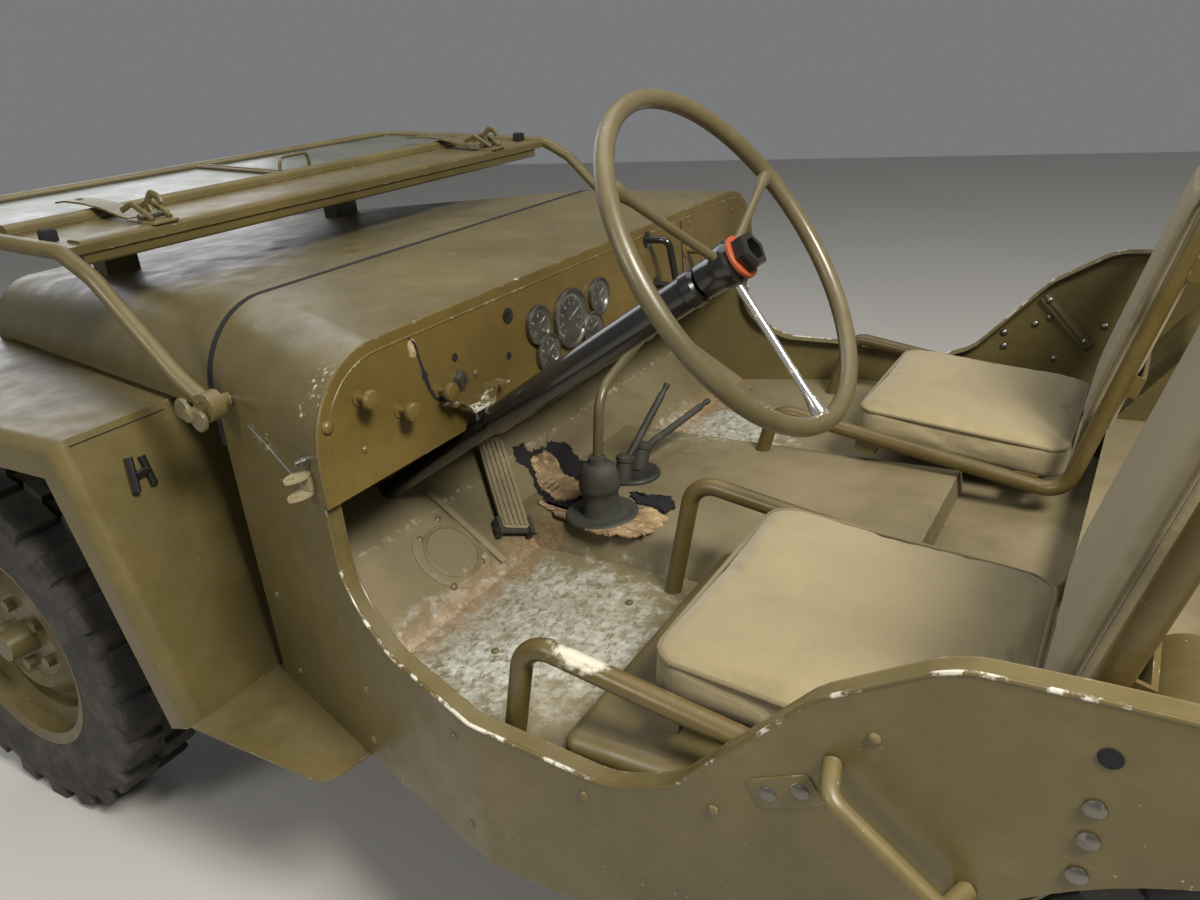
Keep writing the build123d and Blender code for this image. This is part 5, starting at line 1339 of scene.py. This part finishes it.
SLOPE_TOP = np.array([0.615, 0, 0.875])
SLOPE = unit(SLOPE_TOP - (0.479, 0, 0.4268))
SLOPE_OUT = np.array([-SLOPE[2], 0, SLOPE[0]])


def on_slope(side, y, z, h):
    """A point on a fender's rear slope, from its y and z and its height over the sheet."""
    return SLOPE_TOP + SLOPE * (z - SLOPE_TOP[2]) / SLOPE[2] + np.array([0, side * y, 0]) + SLOPE_OUT * h


def body_fittings():
    """Wing nuts on the windshield pivots, hood holds on the fender slopes, and seams across the slopes."""
    for side, word in SIDES:
        fit = fitting(f"{word}_pivot_wing_nut", paint_rim, black, gap_shadow)
        at = np.array([0.42, side * 0.64, 0.909])
        fit.add(wing(at, side, 24), 0)
        fit.turn(0, [(-16, 6), (-2, 10.5), (8, 10.5), (11, 8), (11.5, 0)], at, (0, side, 0), 24)
        fit.tube(
            1, [on_slope(side, 0.65, 0.82, 0.008), on_slope(side, 0.66, 0.77, 0.008)], 0.0085, 14,
            (0, 1, 0), 0.7
        )
        fit.tube(
            1, [on_slope(side, 0.655, 0.793, 0.008), on_slope(side, 0.628, 0.793, 0.006)], 0.006, 14,
            (1, 0, 0)
        )
        fit.tube(
            1, [on_slope(side, 0.628, 0.815, 0.004), on_slope(side, 0.628, 0.77, 0.004)], 0.006, 14,
            (0, 1, 0)
        )
        seam = np.array([on_slope(side, y, 0.864, 0.0002) for y in np.linspace(0.56, 0.716, 12)])
        fit.tube(2, seam, 0.0013, 8, (0, 0, 1), 0.6)
        fit.done()


body_fittings()

# Floor, light and camera

pale = Finish("studio_floor")
shade = pale.mix(pale.noise(0.8, 4.0), (0.5, 0.485, 0.455), (0.54, 0.525, 0.495))
pale.set(shade, 0.75, pale.bump(pale.noise(40.0), 0.05, 0.002))
line = np.linspace(-9, 9, 10)
ground = np.stack(np.meshgrid(line, line, [-0.0008], indexing="ij"), -1)[:, :, 0]
mesh = bpy.data.meshes.new("studio_floor")
index = np.arange(100).reshape(10, 10)
faces = np.stack([index[:-1, :-1], index[1:, :-1], index[1:, 1:], index[:-1, 1:]], -1).reshape(-1, 4)
mesh.from_pydata(ground.reshape(-1, 3), [], faces.tolist())
mesh.materials.append(pale.material)
floor = bpy.data.objects.new("studio_floor", mesh)
bpy.context.scene.collection.objects.link(floor)


def lamp(name, place, target, size, watts, color=(1, 1, 1)):
    """A soft square area light that looks from place to target."""
    light = bpy.data.lights.new(name, "AREA")
    light.shape, light.size, light.energy, light.color = "SQUARE", size, watts, color
    holder = bpy.data.objects.new(name, light)
    holder.location = place
    holder.rotation_euler = (Vector(target) - Vector(place)).to_track_quat("-Z", "Y").to_euler()
    bpy.context.scene.collection.objects.link(holder)


lamp("key", (-2.2, 1.3, 3.3), (0.1, 0.1, 0.7), 0.9, 190, (1.0, 0.95, 0.87))
lamp("side", (1.0, 3.4, 2.6), (0.4, 0.2, 0.8), 1.2, 42, (1.0, 0.97, 0.92))
lamp("top", (0.4, -0.6, 4.2), (0.0, 0.0, 0.6), 3.0, 50, (1.0, 0.98, 0.95))
lamp("front", (4.2, -1.4, 2.4), (0.6, 0.0, 0.7), 2.5, 36, (0.95, 0.97, 1.0))

world = bpy.data.worlds.new("studio")
world.use_nodes = True
world.node_tree.nodes["Background"].inputs[0].default_value = (0.86, 0.88, 0.9, 1)
world.node_tree.nodes["Background"].inputs[1].default_value = 0.22
bpy.context.scene.world = world
bpy.context.scene.view_settings.view_transform = "Standard"

yaw, pitch, roll = (math.radians(a) for a in (-57.41, 23.07, -5.16))
look = np.array([math.cos(yaw) * math.cos(pitch), math.sin(yaw) * math.cos(pitch), -math.sin(pitch)])
right = unit(np.cross(look, (0, 0, 1)))
high = np.cross(right, look)
right, high = math.cos(roll) * right + math.sin(roll) * high, -math.sin(roll) * right + math.cos(roll) * high
lens_data = bpy.data.cameras.new("photo_view")
lens_data.sensor_width, lens_data.lens = 36.0, 28.38
lens_data.clip_start, lens_data.clip_end = 0.02, 60.0
camera = bpy.data.objects.new("photo_view", lens_data)
turn = np.eye(4)
turn[:3, :3] = np.stack([right, high, -look], 1)
turn[:3, 3] = (-0.702, 1.377, 1.324)
camera.matrix_world = Matrix(turn.tolist())
bpy.context.scene.collection.objects.link(camera)
bpy.context.scene.camera = camera
